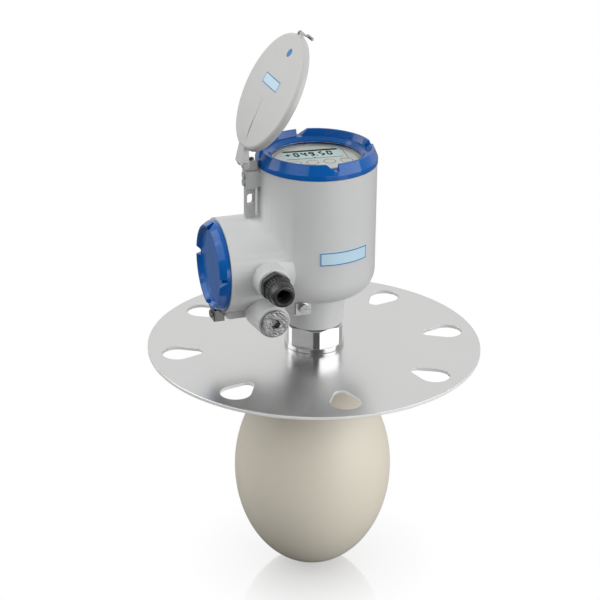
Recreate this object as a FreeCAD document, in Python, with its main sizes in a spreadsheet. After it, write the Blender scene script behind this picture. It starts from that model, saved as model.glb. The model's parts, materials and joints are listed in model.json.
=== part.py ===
import FreeCAD, Part
import math
import os
import Sketcher

V = FreeCAD.Vector
X_AXIS = V(1, 0, 0)
Y_AXIS = V(0, 1, 0)
Z_AXIS = V(0, 0, 1)
ORIGIN = V(0, 0, 0)

doc = FreeCAD.newDocument("LevelTransmitter")

# Driving dimensions in millimetres and degrees. The frame's origin is the centre of the
# flange plate's underside, +Z runs up the antenna's axis, and the side compartment points to -X.
SIZES = [
    ("flange_diameter", 300.0, "round mounting plate"),
    ("flange_thickness", 3.0, "sheet thickness of the mounting plate"),
    ("flange_edge_break", 0.4, "chamfer on the plate's rim"),
    ("slot_count", 8, "bolt slots round the plate"),
    ("slot_rim_margin", 25.3, "plate's rim to the centre of a slot's wide end"),
    ("slot_outer_radius", 13.5, "wide end of a bolt slot"),
    ("slot_length", 16.7, "between the centres of a slot's two ends"),
    ("slot_inner_radius", 6.5, "narrow end of a bolt slot"),
    ("slot_turn", 38.4, "angle of the first slot from +X"),
    ("slip_gap", 0.3, "clearance between pieces that move past each other"),
    ("running_gap", 0.05, "radial clearance of a pin or shaft in its hole"),
    ("thread_gap", 0.1, "radial clearance left for a fine thread"),
    ("drop_radius", 72.0, "largest radius of the drop antenna"),
    ("drop_depth", 121.0, "its widest section, below the plate's underside"),
    ("drop_lower_height", 98.0, "from the widest section down to the tip"),
    ("drop_upper_height", 96.0, "half axis of the upper part's ellipse"),
    ("drop_neck_radius", 30.0, "neck under the plate"),
    ("drop_stub_radius", 19.0, "threaded stub through the plate"),
    ("drop_stub_rise", 17.0, "stub's height above the plate's top"),
    ("drop_gasket_thickness", 2.0, "flat gasket between drop and plate"),
    ("collar_radius", 27.0, "round collar under the hexagon"),
    ("collar_height", 4.5, "collar's height"),
    ("collar_round", 0.5, "rounding of the collar's edges"),
    ("hexagon_flats", 49.0, "hexagon across flats"),
    ("hexagon_turned_radius", 26.4, "hexagon's corners turned to this radius"),
    ("hexagon_height", 17.5, "hexagon's height"),
    ("hexagon_turn", 15.0, "angle of a hexagon corner from +X"),
    ("stem_radius", 17.0, "stem that carries the housing"),
    ("stem_height", 22.0, "stem above the hexagon"),
    ("waveguide_radius", 7.8, "waveguide tube, outside"),
    ("waveguide_bore", 6.2, "waveguide tube, inside"),
    ("waveguide_collar_radius", 12.0, "shoulder that locates the waveguide"),
    ("waveguide_top", 67.0, "top of the waveguide tube"),
    ("waveguide_depth", 30.0, "waveguide's end below the plate's underside"),
    ("feed_cone_length", 32.0, "dielectric cone below the waveguide"),
    ("stem_seal_section", 1.15, "cord radius of the stem's O-ring"),
    ("stem_seal_height", 8.0, "O-ring groove above the hexagon"),
    ("circlip_thickness", 1.2, "retaining ring on the stem"),
    ("circlip_width", 3.4, "radial width of the retaining ring"),
    ("circlip_bite", 1.0, "depth of the ring's groove"),
    ("circlip_opening", 36.0, "gap of the ring in degrees"),
    ("neck_foot_radius", 25.5, "neck at its foot"),
    ("neck_head_radius", 28.2, "neck where it meets the bowl"),
    ("bowl_radius", 53.0, "main housing cylinder"),
    ("bowl_bottom", 56.2, "underside of the bowl"),
    ("bowl_top", 176.0, "rim of the main compartment"),
    ("bowl_wall", 5.5, "main compartment's wall"),
    ("well_radius", 21.0, "well over the stem"),
    ("well_floor", 40.5, "land that the retaining ring holds"),
    ("ledge_height", 86.0, "ledge that carries the electronics"),
    ("ledge_width", 3.5, "ledge's width"),
    ("arm_height", 89.0, "axis of the side compartment"),
    ("arm_radius", 42.0, "side compartment, outside"),
    ("arm_reach", 36.5, "side compartment beyond the bowl"),
    ("arm_wall", 6.5, "side compartment's wall"),
    ("partition_wall", 4.5, "wall between the two compartments"),
    ("floor_thickness", 10.0, "bowl's floor"),
    ("upper_entry_depth", 23.0, "upper entry's bore, into the side compartment"),
    ("lower_entry_depth", 41.0, "lower entry's bore, into the side compartment"),
    ("boss_length", 30.0, "entry boss from its face to its root"),
    ("feed_plug_length", 10.0, "feed cone's fit in the waveguide"),
    ("feed_needle_length", 24.0, "feed cone's tip inside the waveguide"),
    ("screw_bite", 4.2, "bracket screws in the housing"),
    ("keel_half_width", 14.0, "pad under the arm"),
    ("keel_drop", 5.5, "pad's underside below the arm"),
    ("keel_setback", 3.5, "pad's front behind the arm's open end"),
    ("entry_setback", 33.2, "cable entries behind the arm's open end"),
    ("entry_rise", 14.0, "faces of the entry bosses beyond the arm"),
    ("entry_radius", 9.25, "bore of a cable entry"),
    ("entry_boss_radius", 14.2, "entry boss at its face"),
    ("upper_entry_drop", 0.5, "upper entry, which holds the gland, below the arm's axis"),
    ("entry_pitch", 35.1, "down to the lower entry, which holds the plug"),
    ("cap_overhang", 0.5, "display cap beyond the bowl's wall"),
    ("cap_side_height", 4.2, "straight side of the display cap"),
    ("cap_height", 13.2, "display cap above the housing rim"),
    ("cap_crest_inset", 4.8, "crest of the display cap's rim, from its side"),
    ("cap_crest_half", 0.9, "half width of the crest"),
    ("cap_step_inset", 4.1, "step inside the rim, from the crest"),
    ("cap_step_drop", 5.5, "step, below the crest"),
    ("window_radius", 38.8, "clear opening of the display cap"),
    ("window_recess", 9.2, "window's face below the crest"),
    ("cap_spigot_step", 1.8, "display cap's threaded spigot beyond the bore"),
    ("cap_spigot_length", 11.5, "spigot's length"),
    ("cap_seat_gap", 0.3, "gap between cap and housing rim"),
    ("notch_count", 4, "grip notches in each cap's rim"),
    ("notch_floor_drop", 5.9, "notch floor, below the crest"),
    ("notch_wall_angle", -87.0, "steep side of the first notch"),
    ("notch_floor_angle", 4.0, "notch floor in degrees"),
    ("notch_ramp_angle", 10.0, "sloping side in degrees"),
    ("seal_section", 0.95, "cord radius of the caps' O-rings"),
    ("window_thickness", 2.6, "glass disc"),
    ("window_lap", 4.2, "glass held under the cap's edge"),
    ("window_ring_height", 3.2, "threaded ring that holds the glass"),
    ("window_ring_width", 3.9, "its radial width"),
    ("side_cap_inset", 2.0, "side cap inside the arm's wall"),
    ("side_cap_length", 9.3, "side cap beyond the arm"),
    ("side_cap_side", 3.6, "straight side of the side cap"),
    ("side_cap_crest_inset", 4.2, "crest of the side cap's rim, from its side"),
    ("side_cap_face_inset", 4.8, "plain face inside the rim, from the crest"),
    ("side_cap_face_drop", 3.6, "plain face, below the crest"),
    ("side_cap_spigot_step", 1.8, "side cap's threaded spigot beyond the bore"),
    ("side_cap_spigot_length", 10.5, "spigot's length"),
    ("side_cap_wall", 4.0, "side cap's end wall"),
    ("plate_radius", 37.6, "printed display plate"),
    ("plate_thickness", 1.6, "display plate"),
    ("plate_gap", 0.5, "display plate below the glass"),
    ("screen_length", 55.0, "liquid crystal screen along X"),
    ("screen_width", 23.0, "liquid crystal screen along Y"),
    ("screen_offset", 13.5, "screen's centre from the axis, along Y"),
    ("screen_thickness", 2.4, "screen with its glass"),
    ("screen_proud", 0.2, "screen above the plate"),
    ("key_count", 4, "sensor keys under the window"),
    ("key_pitch", 15.5, "distance between keys"),
    ("key_centre", 3.0, "middle of the key row, along X"),
    ("key_offset", -8.0, "key row along Y"),
    ("key_length", 11.5, "key pad along X"),
    ("key_width", 8.0, "key pad along Y"),
    ("key_height", 0.2, "key pad above the plate"),
    ("module_radius", 35.5, "electronics can"),
    ("module_height", 66.0, "electronics can above its plate"),
    ("mount_plate_gap", 0.5, "sheet that carries the electronics, inside the bore"),
    ("mount_plate_thickness", 2.0, "its thickness"),
    ("radar_side", 40.0, "radar module's side"),
    ("board_radius", 31.0, "terminal board"),
    ("board_thickness", 2.0, "terminal board's thickness"),
    ("terminal_length", 40.0, "terminal block along Y"),
    ("terminal_height", 18.0, "terminal block along Z"),
    ("terminal_depth", 16.0, "terminal block along X"),
    ("terminal_count", 4, "clamp screws of the terminal block"),
    ("terminal_screw_radius", 2.3, "head of a clamp screw"),
    ("feedthrough_radius", 6.0, "sealed wire passage in the partition"),
    ("feedthrough_rise", 23.0, "its height above the arm's axis"),
    ("lock_length", 9.7, "cap lock along X"),
    ("lock_half_width", 6.5, "cap lock, half its width"),
    ("lock_overhang", 3.3, "cap lock below the pad under the arm"),
    ("lock_height", 8.5, "cap lock's height"),
    ("lock_screw_radius", 2.0, "cap lock's screw"),
    ("gland_flats", 24.0, "gland across flats"),
    ("gland_hexagon_length", 6.0, "hexagon of the gland's body"),
    ("gland_washer_thickness", 0.9, "seal under the gland"),
    ("gland_spigot_length", 12.0, "gland's thread in the housing"),
    ("gland_stud_radius", 9.0, "thread that carries the dome nut"),
    ("gland_stud_length", 9.0, "its length"),
    ("gland_nut_length", 19.5, "dome nut"),
    ("gland_nut_side", 8.5, "dome nut's faceted part"),
    ("gland_mouth_radius", 6.1, "opening of the dome nut"),
    ("gland_nose_radius", 9.9, "front of the dome nut"),
    ("gland_rib_count", 18, "grip ribs on the dome"),
    ("plug_head_radius", 12.2, "blanking plug's head"),
    ("plug_head_height", 3.0, "head's height"),
    ("plug_socket_flats", 6.0, "hexagon socket of the plug"),
    ("plug_washer_thickness", 0.8, "seal under the plug"),
    ("plug_spigot_length", 12.0, "plug's thread"),
    ("pad_left", 28.5, "earth pad's left side, from the axis"),
    ("pad_right", 12.5, "earth pad's right side, from the axis"),
    ("pad_drop", 12.7, "earth pad's underside below the bowl"),
    ("pad_depth", 20.0, "earth pad from its face to its root"),
    ("pad_face", 26.5, "earth pad's face, from the axis"),
    ("inner_earth_shank", 1.6, "shank of the inner earth screw"),
    ("earth_plate_thickness", 2.4, "clamp plate of the earth terminal"),
    ("earth_plate_length", 13.6, "clamp plate along X"),
    ("earth_drop", 4.8, "earth screw below the bowl"),
    ("earth_washer_radius", 5.0, "washer under the earth screw"),
    ("earth_washer_thickness", 1.0, "its thickness"),
    ("earth_head_radius", 4.3, "head of the earth screw"),
    ("earth_head_height", 3.2, "its height"),
    ("earth_shank_radius", 2.4, "shank of the earth screw"),
    ("label_angle", -79.6, "middle of the name plate from +X"),
    ("label_spread", 50.6, "name plate's arc in degrees"),
    ("label_bottom", 98.6, "name plate's lower edge"),
    ("label_height", 12.4, "name plate's height"),
    ("label_thickness", 0.5, "name plate's thickness"),
    ("label_glue", 0.1, "glue under the name plate"),
    ("pin_standoff", 13.5, "lid's hinge axis, from the bowl"),
    ("pin_rise", 4.5, "lid's hinge axis above the housing rim"),
    ("pin_radius", 1.5, "hinge pin"),
    ("pin_head_radius", 2.8, "hinge pin's heads"),
    ("pin_head_height", 1.0, "their height"),
    ("bracket_depth", 10.4, "bracket's upper block, outwards"),
    ("bracket_standoff", 2.2, "bracket's inner face, from the bowl"),
    ("bracket_half_width", 7.0, "bracket's upper block, half its width"),
    ("bracket_margin", 1.0, "bracket's top below the housing rim"),
    ("bracket_height", 16.0, "height of the upper block"),
    ("tab_lip", 0.3, "tab's outer edge beyond the block"),
    ("tab_depth", 9.5, "tab's width along X"),
    ("tab_half_width", 2.75, "tab, half its thickness"),
    ("tab_slot_margin", 1.9, "metal beside the tab's slot"),
    ("tab_slot_width", 6.0, "slot in the tab along X"),
    ("tab_slot_height", 10.0, "slot in the tab along Z"),
    ("tab_slot_drop", 5.8, "slot's upper end below the block"),
    ("bracket_screw_radius", 2.0, "screws through the bracket"),
    ("leaf_half_width", 5.4, "hinge leaf, half its width"),
    ("leaf_sheet", 1.5, "sheet thickness of the hinge leaf"),
    ("leaf_rise", 3.7, "hinge leaf's top above the pin"),
    ("leaf_round", 3.6, "leaf's rounding about the pin"),
    ("lid_inset", 0.1, "closed lid's rim inside the display cap's side"),
    ("lid_rise", 8.4, "closed lid's lower edge above the housing rim"),
    ("lid_skirt", 6.5, "height of the lid's turned-down edge"),
    ("lid_round", 3.6, "rounding of the lid's edge"),
    ("lid_crown", 3.6, "lid's middle above its edge"),
    ("lid_sheet", 1.0, "lid's wall"),
    ("lid_open_angle", 62.0, "lid's opening at rest"),
    ("arm_half_width", 7.0, "lid's hinge arm, half its width"),
    ("arm_tip_half_width", 6.0, "hinge arm's ridge at its tip"),
    ("arm_tip_reach", 60.0, "ridge's tip from the hinge pin"),
    ("arm_crown_reach", 31.0, "highest part of the ridge from the pin"),
    ("arm_crown_rise", 13.0, "highest part of the ridge above the pin"),
    ("arm_heel_rise", 5.6, "web's end above the pin"),
    ("eye_radius", 3.5, "hinge eyes of the arm"),
    ("ear_standoff", 1.9, "latch pivot beyond the lid's rim"),
    ("ear_rise", 2.8, "latch pivot above the closed lid's lower edge"),
    ("ear_radius", 2.1, "ears that carry the latch"),
    ("ear_half_width", 3.2, "outer faces of the ears, from the middle"),
    ("latch_half_width", 1.5, "latch's eye, half its width"),
    ("latch_pin_radius", 0.8, "latch pin"),
    ("latch_eye_radius", 1.5, "latch's eye"),
    ("latch_rod_radius", 0.95, "latch's rod"),
    ("latch_drop", 9.0, "latch's bar below its pivot"),
    ("latch_bar_radius", 1.4, "latch's cross bar"),
    ("latch_bar_half_length", 6.2, "latch's cross bar, half its length"),
]

sheet = doc.addObject("Spreadsheet::Sheet", "Sizes")
for row, (alias, amount, meaning) in enumerate(SIZES, start=1):
    sheet.set("A%d" % row, alias)
    sheet.set("B%d" % row, repr(amount))
    sheet.setAlias("B%d" % row, alias)
    sheet.set("C%d" % row, meaning)
doc.recompute()


class Size:
    """A size with its present value and the sheet expression it comes from."""

    def __init__(self, value, text):
        self.value = value
        self.text = text

    def __float__(self):
        return float(self.value)

    def __neg__(self):
        return Size(-self.value, "-(%s)" % self.text)

    def __add__(self, other):
        return Size(self.value + float(other), "(%s + %s)" % (self.text, written(other)))

    def __radd__(self, other):
        return Size(float(other) + self.value, "(%s + %s)" % (written(other), self.text))

    def __sub__(self, other):
        return Size(self.value - float(other), "(%s - %s)" % (self.text, written(other)))

    def __rsub__(self, other):
        return Size(float(other) - self.value, "(%s - %s)" % (written(other), self.text))

    def __mul__(self, other):
        return Size(self.value * float(other), "(%s * %s)" % (self.text, written(other)))

    def __rmul__(self, other):
        return Size(float(other) * self.value, "(%s * %s)" % (written(other), self.text))

    def __truediv__(self, other):
        return Size(self.value / float(other), "(%s / %s)" % (self.text, written(other)))


class Sheet:
    """The driving dimensions by name."""


def written(amount):
    """An amount as it stands in an expression."""
    return amount.text if isinstance(amount, Size) else repr(float(amount))


def sine(angle):
    """Sine of an angle in degrees."""
    return Size(math.sin(math.radians(float(angle))), "sin(%s)" % written(angle))


def cosine(angle):
    """Cosine of an angle in degrees."""
    return Size(math.cos(math.radians(float(angle))), "cos(%s)" % written(angle))


D = Sheet()
for alias, amount, meaning in SIZES:
    setattr(D, alias, Size(amount, "Sizes.%s" % alias))

# Places and sizes that follow from the driving ones.
slot_outer_reach = D.flange_diameter / 2.0 - D.slot_rim_margin
slot_inner_reach = slot_outer_reach - D.slot_length
bowl_bore = D.bowl_radius - D.bowl_wall
mount_plate_radius = bowl_bore - D.mount_plate_gap
pad_bottom = D.bowl_bottom - D.pad_drop
pad_top = D.bowl_bottom + D.earth_drop
earth_height = D.bowl_bottom - D.earth_drop
arm_end = D.bowl_radius + D.arm_reach
arm_floor = bowl_bore + D.partition_wall
arm_bore = D.arm_radius - D.arm_wall
keel_bottom = D.arm_height - D.arm_radius - D.keel_drop
keel_front = arm_end - D.keel_setback
entry_offset = arm_end - D.entry_setback
entry_face = D.arm_radius + D.entry_rise
upper_entry_height = D.arm_height - D.upper_entry_drop
lower_entry_height = upper_entry_height - D.entry_pitch
lock_bottom = keel_bottom - D.lock_overhang
lock_top = lock_bottom + D.lock_height
feedthrough_height = D.arm_height + D.feedthrough_rise
cap_radius = D.bowl_radius + D.cap_overhang
cap_crest_radius = cap_radius - D.cap_crest_inset
cap_step_radius = cap_crest_radius - D.cap_step_inset
cap_spigot_radius = bowl_bore + D.cap_spigot_step
side_cap_radius = D.arm_radius - D.side_cap_inset
side_cap_crest_radius = side_cap_radius - D.side_cap_crest_inset
side_cap_face_radius = side_cap_crest_radius - D.side_cap_face_inset
side_cap_spigot_radius = arm_bore + D.side_cap_spigot_step
bracket_inner = D.bowl_radius + D.bracket_standoff
bracket_outer = bracket_inner + D.bracket_depth
bracket_top = D.bowl_top - D.bracket_margin
bracket_step = bracket_top - D.bracket_height
tab_outer = bracket_outer + D.tab_lip
tab_inner = tab_outer - D.tab_depth
tab_slot_left = tab_outer - D.tab_slot_margin
tab_slot_right = tab_slot_left - D.tab_slot_width
tab_slot_top = bracket_step - D.tab_slot_drop
tab_slot_bottom = tab_slot_top - D.tab_slot_height
pin_reach = D.bowl_radius + D.pin_standoff
pin_height = D.bowl_top + D.pin_rise
leaf_top = pin_height + D.leaf_rise
lid_radius = cap_radius - D.lid_inset
lid_bottom = D.bowl_top + D.lid_rise
ear_reach = lid_radius + D.ear_standoff
ear_height = lid_bottom + D.ear_rise

FULL_TURN = 360.0
SHARP = 1e-4
nodes = []


def bind(thing, name, amount):
    """Sets a property from the sheet where the amount comes from there."""
    if isinstance(amount, Size):
        thing.setExpression(name, amount.text)
    else:
        thing.setExpression(name, repr(float(amount)))


def place(thing, x=0.0, y=0.0, z=0.0, axis=None, angle=0.0):
    """Puts an object in the frame."""
    if axis is not None:
        thing.Placement = FreeCAD.Placement(ORIGIN, FreeCAD.Rotation(axis, float(angle)))
        if isinstance(angle, Size):
            thing.setExpression(".Placement.Rotation.Angle", angle.text)
    for name, amount in (("x", x), ("y", y), ("z", z)):
        if abs(float(amount)) > SHARP:
            bind(thing, ".Placement.Base.%s" % name, amount)


def node(thing):
    """Counts an object among the ones that are written out."""
    thing.Label = thing.Name
    nodes.append(thing)
    return thing


def new_body(name, **where):
    """A new sub-part built from sketches."""
    part = doc.addObject("PartDesign::Body", name)
    place(part, **where)
    return node(part)


def origin_feature(part, role):
    """A plane or axis of the body's own origin."""
    return [item for item in part.Origin.OriginFeatures if item.Role == role][0]


def new_sketch(part, role, lift=0.0, turn=None):
    """An empty sketch parallel to one of the body's origin planes."""
    sketch = part.newObject("Sketcher::SketchObject", part.Name + "_sketch")
    sketch.AttachmentSupport = (origin_feature(part, role), [""])
    sketch.MapMode = "FlatFace"
    if turn is not None:
        sketch.AttachmentOffset = FreeCAD.Placement(ORIGIN, FreeCAD.Rotation(Z_AXIS, float(turn)))
        bind(sketch, ".AttachmentOffset.Rotation.Angle", turn)
    if abs(float(lift)) > SHARP:
        bind(sketch, ".AttachmentOffset.Base.z", lift)
    return sketch


def hold(sketch, geometry, vertex, x=None, y=None):
    """Fixes a vertex by its distances from the sketch's origin."""
    for kind, line, amount in (("DistanceX", -2, x), ("DistanceY", -1, y)):
        if amount is None:
            continue
        if abs(float(amount)) < SHARP:
            sketch.addConstraint(Sketcher.Constraint("PointOnObject", geometry, vertex, line))
            continue
        ends = (-1, 1, geometry, vertex) if float(amount) > 0 else (geometry, vertex, -1, 1)
        distance = amount if float(amount) > 0 else -amount
        index = sketch.addConstraint(Sketcher.Constraint(kind, *ends, float(distance)))
        bind(sketch, "Constraints[%d]" % index, distance)


def outline(sketch, corners):
    """A closed line through the corners. A corner with four values ends an arc round a centre."""
    first = len(sketch.Geometry)
    count = len(corners)
    for index, corner in enumerate(corners):
        start = V(float(corner[0]), float(corner[1]), 0)
        target = corners[(index + 1) % count]
        end = V(float(target[0]), float(target[1]), 0)
        if len(target) == 4:
            centre = V(float(target[2]), float(target[3]), 0)
            add_arc(sketch, start, end, centre)
        else:
            sketch.addGeometry(Part.LineSegment(start, end))
    for index in range(count):
        following = (index + 1) % count
        ends = arc_ends(sketch, corners, first, index)
        starts = arc_ends(sketch, corners, first, following)
        sketch.addConstraint(
            Sketcher.Constraint("Coincident", first + index, ends[1], first + following, starts[0]))
    for index, corner in enumerate(corners):
        geometry = first + (index - 1) % count
        vertex = arc_ends(sketch, corners, first, (index - 1) % count)[1]
        if len(corner) == 2:
            hold(sketch, geometry, vertex, corner[0], corner[1])
            continue
        hold(sketch, geometry, 3, corner[2], corner[3])
        level = abs(float(corner[1]) - float(corner[3])) < abs(float(corner[0]) - float(corner[2]))
        if level:
            hold(sketch, geometry, vertex, y=corner[1])
        else:
            hold(sketch, geometry, vertex, x=corner[0])


def add_arc(sketch, start, end, centre):
    """The shorter arc between two points."""
    radius = (start - centre).Length
    angles = [math.atan2(point.y - centre.y, point.x - centre.x) for point in (start, end)]
    sweep = (angles[1] - angles[0]) % math.tau
    circle = Part.Circle(centre, Z_AXIS, radius)
    if sweep > math.pi:
        angles.reverse()
    sketch.addGeometry(Part.ArcOfCircle(circle, angles[0], angles[1]))


def arc_ends(sketch, corners, first, index):
    """Vertex numbers of a segment's start and end, as the outline runs."""
    target = corners[(index + 1) % len(corners)]
    if len(target) == 2:
        return 1, 2
    start = V(float(corners[index][0]), float(corners[index][1]), 0)
    arc = sketch.Geometry[first + index]
    return (1, 2) if (arc.StartPoint - start).Length < 0.01 else (2, 1)


def ring(sketch, x, y, radius):
    """A circle fixed by its centre and radius."""
    index = sketch.addGeometry(Part.Circle(V(float(x), float(y), 0), Z_AXIS, float(radius)))
    hold(sketch, index, 3, x, y)
    constraint = sketch.addConstraint(Sketcher.Constraint("Radius", index, float(radius)))
    bind(sketch, "Constraints[%d]" % constraint, radius)


def hexagon(sketch, flats, turn=0.0):
    """A regular hexagon about the sketch's origin."""
    reach = flats / (2.0 * cosine(30.0))
    outline(sketch, [(reach * cosine(60.0 * side + turn), reach * sine(60.0 * side + turn))
                     for side in range(6)])


def rectangle(sketch, left, right, low, high):
    """A rectangle by its four sides."""
    outline(sketch, [(left, low), (right, low), (right, high), (left, high)])


def pad(part, sketch, length, both=False, flip=False, taper=None):
    """Raises a sketch into a solid."""
    feature = part.newObject("PartDesign::Pad", part.Name + "_pad")
    feature.Profile = sketch
    bind(feature, "Length", length)
    feature.Reversed = flip
    if both:
        feature.SideType = "Symmetric"
    if taper is not None:
        bind(feature, "TaperAngle", taper)
    sketch.Visibility = False
    doc.recompute()
    return feature


def pocket(part, sketch, depth, both=False):
    """Sinks a sketch into the solid, on the side where the solid is."""
    before = part.Tip.Shape.Volume
    feature = part.newObject("PartDesign::Pocket", part.Name + "_pocket")
    feature.Profile = sketch
    bind(feature, "Length", depth)
    if both:
        feature.SideType = "Symmetric"
    sketch.Visibility = False
    doc.recompute()
    if feature.Shape.isNull() or before - feature.Shape.Volume < 0.05:
        feature.Reversed = True
        doc.recompute()
    if before - feature.Shape.Volume < 0.05:
        raise RuntimeError("%s removes nothing" % feature.Name)
    return feature


def turned(part, corners, kind="PartDesign::Revolution", role="XZ_Plane", about=None, sweep=FULL_TURN):
    """Turns an outline about the body's vertical axis, or about a line beside it."""
    sketch = new_sketch(part, role)
    outline(sketch, corners)
    axis = "V_Axis"
    if about is not None:
        index = sketch.addGeometry(
            Part.LineSegment(V(float(about), 0, 0), V(float(about), 10, 0)), True)
        hold(sketch, index, 1, about, 0.0)
        hold(sketch, index, 2, about, 10.0)
        axis = "Axis0"
    feature = part.newObject(kind, part.Name + "_turning")
    feature.Profile = sketch
    feature.ReferenceAxis = (sketch, [axis])
    bind(feature, "Angle", sweep)
    sketch.Visibility = False
    doc.recompute()
    return feature


def grooved(part, corners, role="XZ_Plane"):
    """Turns a groove into the body about its vertical axis."""
    before = part.Tip.Shape.Volume
    feature = turned(part, corners, kind="PartDesign::Groove", role=role)
    if before - feature.Shape.Volume < 0.05:
        raise RuntimeError("%s removes nothing" % feature.Name)
    return feature


def repeated(part, features, count):
    """Repeats features round the body's vertical axis."""
    pattern = part.newObject("PartDesign::PolarPattern", part.Name + "_pattern")
    pattern.Originals = features
    pattern.Axis = (origin_feature(part, "Z_Axis"), [""])
    pattern.Angle = FULL_TURN
    bind(pattern, "Occurrences", count)
    part.Tip = pattern
    doc.recompute()
    return pattern


def rounded(part, radius, wanted, kind="PartDesign::Fillet"):
    """Rounds the edges of the last feature that fit the description."""
    base = part.Tip
    names = ["Edge%d" % (number + 1) for number, edge in enumerate(base.Shape.Edges) if wanted(edge)]
    if not names:
        raise RuntimeError("%s has no such edge" % part.Name)
    feature = part.newObject(kind, part.Name + "_rounding")
    feature.Base = (base, names)
    bind(feature, "Radius" if kind.endswith("Fillet") else "Size", radius)
    doc.recompute()
    return feature


def circle_at(radius, height):
    """Describes full circles about the vertical axis at one height."""
    def wanted(edge):
        box = edge.BoundBox
        flat = abs(box.ZMin - float(height)) < 0.01 and abs(box.ZMax - float(height)) < 0.01
        return flat and abs(box.XMax - float(radius)) < 0.02 and abs(box.XMin + float(radius)) < 0.02
    return wanted


def cylinder(name, radius, height, **where):
    """A round bar along its own vertical axis."""
    thing = doc.addObject("Part::Cylinder", name)
    bind(thing, "Radius", radius)
    bind(thing, "Height", height)
    place(thing, **where)
    return thing


def block(name, length, width, height, x=0.0, y=0.0, z=0.0):
    """A box centred on x and y, standing at z."""
    thing = doc.addObject("Part::Box", name)
    bind(thing, "Length", length)
    bind(thing, "Width", width)
    bind(thing, "Height", height)
    place(thing, x=x - length / 2.0, y=y - width / 2.0, z=z)
    return thing


def o_ring(name, radius, section, **where):
    """A round cord bent into a ring."""
    thing = doc.addObject("Part::Torus", name)
    bind(thing, "Radius1", radius)
    bind(thing, "Radius2", section)
    place(thing, **where)
    return node(thing)


def less(name, base, tool):
    """One shape without another."""
    thing = doc.addObject("Part::Cut", name)
    thing.Base = base
    thing.Tool = tool
    return thing


def joined(name, items):
    """Several shapes as one solid."""
    thing = doc.addObject("Part::MultiFuse", name)
    thing.Shapes = items
    return thing


def grouped(name, items):
    """Several separate solids under one name."""
    thing = doc.addObject("Part::Compound", name)
    thing.Links = items
    return node(thing)


def tube(name, outer, inner, height, **where):
    """A plain ring or tube."""
    bar = cylinder(name + "_bar", outer, height, **where)
    bore = cylinder(name + "_bore", inner, height, **where)
    return less(name, bar, bore)


# Flange plate: a round sheet with bolt slots and a hole for the antenna's stub.
flange = new_body("flange_plate")
rim = new_sketch(flange, "XY_Plane")
ring(rim, 0.0, 0.0, D.flange_diameter / 2.0)
pad(flange, rim, D.flange_thickness)
hole = new_sketch(flange, "XY_Plane", lift=D.flange_thickness)
ring(hole, 0.0, 0.0, D.drop_stub_radius + D.thread_gap)
pocket(flange, hole, D.flange_thickness)
rounded(flange, D.flange_edge_break, circle_at(D.flange_diameter / 2.0, D.flange_thickness),
        kind="PartDesign::Chamfer")


def teardrop(sketch):
    """A slot with a wide outer end and a narrow inner end, joined by tangent lines."""
    length = float(slot_outer_reach - slot_inner_reach)
    lean = math.asin((float(D.slot_outer_radius) - float(D.slot_inner_radius)) / length)
    ends = []
    for reach, radius in ((slot_outer_reach, D.slot_outer_radius),
                          (slot_inner_reach, D.slot_inner_radius)):
        centre = V(float(reach), 0, 0)
        upper = centre + V(-math.sin(lean), math.cos(lean), 0) * float(radius)
        lower = centre + V(-math.sin(lean), -math.cos(lean), 0) * float(radius)
        ends.append((centre, upper, lower, float(radius)))
    wide, narrow = ends
    spread = math.pi / 2 + lean
    sketch.addGeometry(Part.ArcOfCircle(Part.Circle(wide[0], Z_AXIS, wide[3]), -spread, spread))
    sketch.addGeometry(Part.LineSegment(wide[1], narrow[1]))
    sketch.addGeometry(
        Part.ArcOfCircle(Part.Circle(narrow[0], Z_AXIS, narrow[3]), spread, math.tau - spread))
    sketch.addGeometry(Part.LineSegment(narrow[2], wide[2]))
    for first, vertex, second, start in ((0, 2, 1, 1), (1, 2, 2, 1), (2, 2, 3, 1), (3, 2, 0, 1)):
        sketch.addConstraint(Sketcher.Constraint("Tangent", first, vertex, second, start))
    hold(sketch, 0, 3, slot_outer_reach, 0.0)
    hold(sketch, 2, 3, slot_inner_reach, 0.0)
    for geometry, radius in ((0, D.slot_outer_radius), (2, D.slot_inner_radius)):
        index = sketch.addConstraint(Sketcher.Constraint("Radius", geometry, float(radius)))
        bind(sketch, "Constraints[%d]" % index, radius)


slot = new_sketch(flange, "XY_Plane", lift=D.flange_thickness, turn=D.slot_turn)
teardrop(slot)
repeated(flange, [pocket(flange, slot, D.flange_thickness)], D.slot_count)

# Drop antenna: a solid egg with a neck, a stub through the plate and a blind bore for the feed.
neck_latitude = math.degrees(math.acos(float(D.drop_neck_radius / D.drop_radius)))
egg_low = doc.addObject("Part::Ellipsoid", "drop_lower_half")
egg_high = doc.addObject("Part::Ellipsoid", "drop_upper_half")
for half, height, start, end in ((egg_low, D.drop_lower_height, -90.0, 0.0),
                                 (egg_high, D.drop_upper_height, 0.0, neck_latitude)):
    bind(half, "Radius1", height)
    bind(half, "Radius2", D.drop_radius)
    bind(half, "Radius3", D.drop_radius)
    half.Angle1 = start
    half.Angle2 = end
    place(half, z=-D.drop_depth)
egg_high.setExpression("Angle2", "acos(Sizes.drop_neck_radius / Sizes.drop_radius)")
neck_drop = D.drop_depth - D.drop_upper_height * sine(neck_latitude)
drop_neck = cylinder("drop_neck", D.drop_neck_radius, neck_drop - D.drop_gasket_thickness + 1.0,
                     z=-neck_drop - 1.0)
stub_top = D.flange_thickness + D.drop_stub_rise
drop_stub = cylinder("drop_stub", D.drop_stub_radius, stub_top + neck_drop, z=-neck_drop)
feed_bore_radius = D.waveguide_radius + D.slip_gap
feed_bore_depth = D.waveguide_depth + D.feed_cone_length
drop_bore = cylinder("drop_bore", feed_bore_radius, feed_bore_depth + stub_top, z=-feed_bore_depth)
drop_solid = joined("drop_solid", [egg_low, egg_high, drop_neck, drop_stub])
node(less("drop_antenna", drop_solid, drop_bore))

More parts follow.
